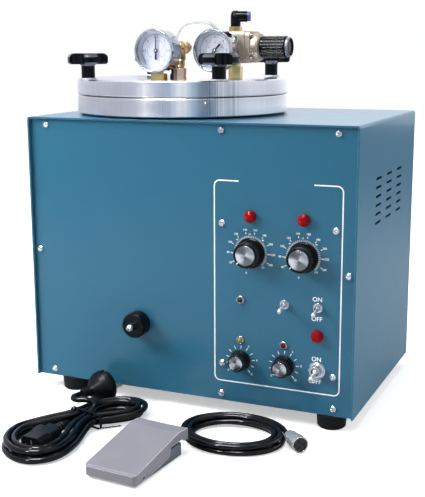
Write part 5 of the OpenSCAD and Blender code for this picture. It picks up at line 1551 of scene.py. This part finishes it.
@dataclass
class LidFittings:
    """What the lid's fittings get on top of their CAD forms: print, rings and a sticker."""

    gauges: tuple[Gauge, ...] = (
        Gauge("left_gauge", (-44.5, 26.0), "left_pointer",
              ("1", "0.5", "0", "0.5", "1", "1.5", "2"), ("10", "5", "0", "5", "10"), 0.34),
        Gauge("right_gauge", (5.5, 68.0), "right_pointer",
              ("0", "1", "2", "3", "4", "5", "6"), ("0", "20", "40", "60", "80"), 0.0))
    knob_from_x: float = 45.0
    reg_centre: Point = (12.5, 118.0, 389.5)
    elbow_at: Point = (12.5, 118.0, 423.0)
    elbow_azimuth: float = 20.0

    def reg_frame(self) -> Matrix:
        """The regulator's frame: z along its axis to the right, 0 at the knob's root."""
        _, y, z = self.reg_centre
        return turned_frame((self.knob_from_x, y, z), (0, 0, -1), (0, 1, 0), (1, 0, 0))

    def build(self) -> None:
        """The dials' print, the pressure knob's ring, the release ring and the plate."""
        for gauge in self.gauges:
            gauge.build()
        ring = Shape()
        ring.lathe([(7.8, 29.2), (10.72, 29.2), (10.72, 31.9), (9.7, 33.0), (7.9, 33.0),
                    (7.8, 32.2), (7.8, 29.2)], self.reg_frame())
        ring.piece("pressure_knob_ring", "pressure_knob",
                   Finish("grey_ring", "#8f9299", "#7c7f86", 0.35, worn="#c9ccd2",
                          edge=0.0003), Slot.BLACK_PLASTIC)
        release = Shape()
        release.lathe([(3.15, 13.2), (5.3, 13.2), (5.3, 15.6), (4.9, 16.9), (3.4, 16.9),
                       (3.15, 16.4), (3.15, 13.2)],
                      along_bench(self.elbow_at, self.elbow_azimuth), 48)
        release.piece("elbow_release_ring", "lid",
                      Finish("release_blue", "#5b5fb4", "#4d51a6", 0.3, edge=0.0003,
                             worn="#a9abdd"), Slot.BLACK_PLASTIC)
        self.plate()

    def plate(self) -> None:
        """The plain sticker on the regulator's front, bare but for a green band."""
        x, y, z = self.reg_centre
        front = turned_frame((x, y - 17.5, z), (1, 0, 0), (0, 0, 1), (0, -1, 0))
        paper, band = Shape(), Shape()
        paper.prism([(-1.5, -13), (9.5, -13), (9.5, 13), (-1.5, 13)], 0.0, 0.12, front)
        band.prism([(6.6, -12.4), (9.0, -12.4), (9.0, 12.4), (6.6, 12.4)], 0.1, 0.16, front)
        band.prism([(-1.0, 9.6), (6.2, 9.6), (6.2, 12.4), (-1.0, 12.4)], 0.1, 0.16, front)
        paper.piece("regulator_sticker", "lid",
                    Finish("sticker_paper", "#d9dcd8", "#cfd3cf", 0.4,
                           edge=0.00005), Slot.WHITE_DIAL)
        band.piece("regulator_sticker_band", "lid",
                   Finish("sticker_green", "#2f8a63", "#2a7a58", 0.4,
                          edge=0.00005), Slot.WHITE_DIAL)


# ------------------------------------------------------------------ control panel


BIG_KNOB = (15.75, 10.65, 13.6, 16.0, 2.6)
SMALL_KNOB = (14.25, 7.8, 9.7, 11.3, 2.2)


@dataclass
class PanelKnob:
    """A turned aluminium cap and the white pointer of one fluted knob.

    Its body has the same name, and its five sizes are one of the two rows above.
    """

    name: str
    at: Flat
    face: float
    cap_r: float
    body_r: float
    skirt_r: float
    skirt_h: float
    pointer: float = 225.0

    def build(self) -> None:
        """The cap and the pointer line."""
        place = on_panel(*self.at)
        cap = Shape()
        r, z = self.cap_r - 0.25, self.face
        cap.lathe([(0, z - 0.3), (r, z - 0.3), (r, z - 0.02), (r - 0.35, z + 0.14),
                   (1.0, z + 0.1), (0.7, z + 0.02), (0, z + 0.02)], place, 72)
        u, v = self.at
        # The cap's metal carries painted reflection wedges.
        spun = TurnedMetal(self.name + "_cap_metal", "#dfe1e5", "#bfc2c8", 0.2,
                           relief=0.000005, edge=0.0003, worn="#ffffff", wear=0.7,
                           origin=(u, PANEL_Y, FOOT_H + v), axis=(0, -1, 0), pitch=0.0003,
                           stretch=0.85, cone=0.8)
        cap.piece(self.name + "_cap", self.name, spun, Slot.TURNED_ALUMINIUM)
        out = level(self.pointer)
        mark = Shape()
        reach = ((self.body_r - 1.2, self.face - 0.24), (self.skirt_r - 0.9, self.skirt_h))
        (r0, z0), (r1, z1) = reach
        side = level(self.pointer + 90) * 0.45
        top = [out * (self.cap_r + 0.3), out * r0, out * r0, out * (self.body_r + 0.06),
               out * (self.body_r + 0.06), out * r1]
        high = [z0 - 0.1, z0 - 0.1, z0 - 0.1, z0 - 1.2, z1 + 0.05, z1 + 0.05]
        points = [p + s * side + Vector((0, 0, h + lift)) for lift in (0.0, 0.1)
                  for p, h in zip(top, high) for s in (-1, 1)]
        n = len(top) * 2
        faces = []
        for k in range(0, n - 2, 2):
            faces += [(k, k + 2, k + 3, k + 1), (n + k + 1, n + k + 3, n + k + 2, n + k),
                      (k, n + k, n + k + 2, k + 2), (k + 1, k + 3, n + k + 3, n + k + 1)]
        faces += [(0, 1, n + 1, n), (n - 2, 2 * n - 2, 2 * n - 1, n - 1)]
        mark.add(points, faces, place)
        mark.piece(self.name + "_pointer_line", self.name, INK)


@dataclass
class ControlPanel:
    """The knobs' caps and pointers, and the indicator lamps."""

    knobs: tuple[PanelKnob, ...] = (
        PanelKnob("pot_temp", (76.0, 165.5), *BIG_KNOB),
        PanelKnob("valve_temp", (133.5, 165.5), *BIG_KNOB),
        PanelKnob("vacuum_time", (65.0, 48.0), *SMALL_KNOB),
        PanelKnob("injection_time", (114.0, 48.0), *SMALL_KNOB))
    leds: tuple[tuple[str, Flat, str, str], ...] = (
        ("standby", (65.0, 114.5), "#2c3a2c", "#16201a"),
        ("vacuum", (65.0, 70.5), "#8f9a4a", "#5f6a30"),
        ("injection", (113.5, 70.5), "#6a1f22", "#3d1114"))
    lens_r: float = 2.6
    rim_r: float = 4.8

    def build(self) -> None:
        """Knob caps and lamp holders."""
        for knob in self.knobs:
            knob.build()
        rims = Shape()
        for name, at, colour, painted_facet_shade in self.leds:
            place = on_panel(*at)
            r, o = self.lens_r, self.rim_r
            rims.lathe([(r + 0.1, -8), (3.6, -8), (3.6, 0.02), (o, 0.02), (o, 1.0),
                        (o - 0.4, 1.7), (o - 1.1, 2.05), (r + 0.35, 2.05), (r + 0.1, 1.8),
                        (r + 0.1, -8)], place, 48)
            lens = Shape()
            dome = [level(a) for a in range(10, 90, 10)]
            lens.lathe([(0, -0.9), (r, -0.9), (r, 1.6), *((r * d.x, 1.6 + 1.9 * d.y) for d in dome),
                        (0, 3.5)], place, 40)
            # The lens's second colour is the painted shade in its facets.
            stuff = LensFinish("led_" + name, colour, painted_facet_shade, 0.12, relief=0.00008, facet=900)
            lens.piece("led_lens_" + name, "root", stuff, Slot.RED_LENS)
        made = rims.piece("led_rims", "root", RIM_PLATE, Slot.BLACK_PLASTIC)
        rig.replaces(made, "indicator_leds")


@dataclass
class PowerInlet:
    """Bright sleeves over the inlet's three pins at the back."""

    at: Flat = (120.0, 60.0)

    def build(self) -> None:
        """The three sleeves."""
        place = on_rear(*self.at)
        pins = Shape()
        for x, y in ((-7, -2), (7, -2), (0, 2)):
            outline = [(x - 1.06, y - 2.06), (x + 1.06, y - 2.06), (x + 1.06, y + 2.06),
                       (x - 1.06, y + 2.06)]
            pins.prism(outline, -14.3, -2.32, place)
        pins.piece("inlet_pins", "root", CHROME)


# ------------------------------------------------------------------ the whole machine


def main() -> None:
    """Builds the studio and the pieces, and dresses the CAD nodes.
    """
    logging.basicConfig(level=logging.INFO, format="%(name)s: %(message)s")
    Effects().build()
    Studio().build()
    for part in (PedalLead(), MainsLead(), ClearHose(), PanelPrint(), LidFittings(),
                 ControlPanel(), PowerInlet()):
        part.build()
    for finish, *nodes in DRESSED:
        dress(finish, *nodes)
    made_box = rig.bounds()
    with open("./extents.json", "w", encoding="utf-8") as out:
        json.dump({"cad": [list(c) for c in cad_box], "visual": [list(c) for c in made_box]},
                  out)


if __name__ == "__main__":
    main()
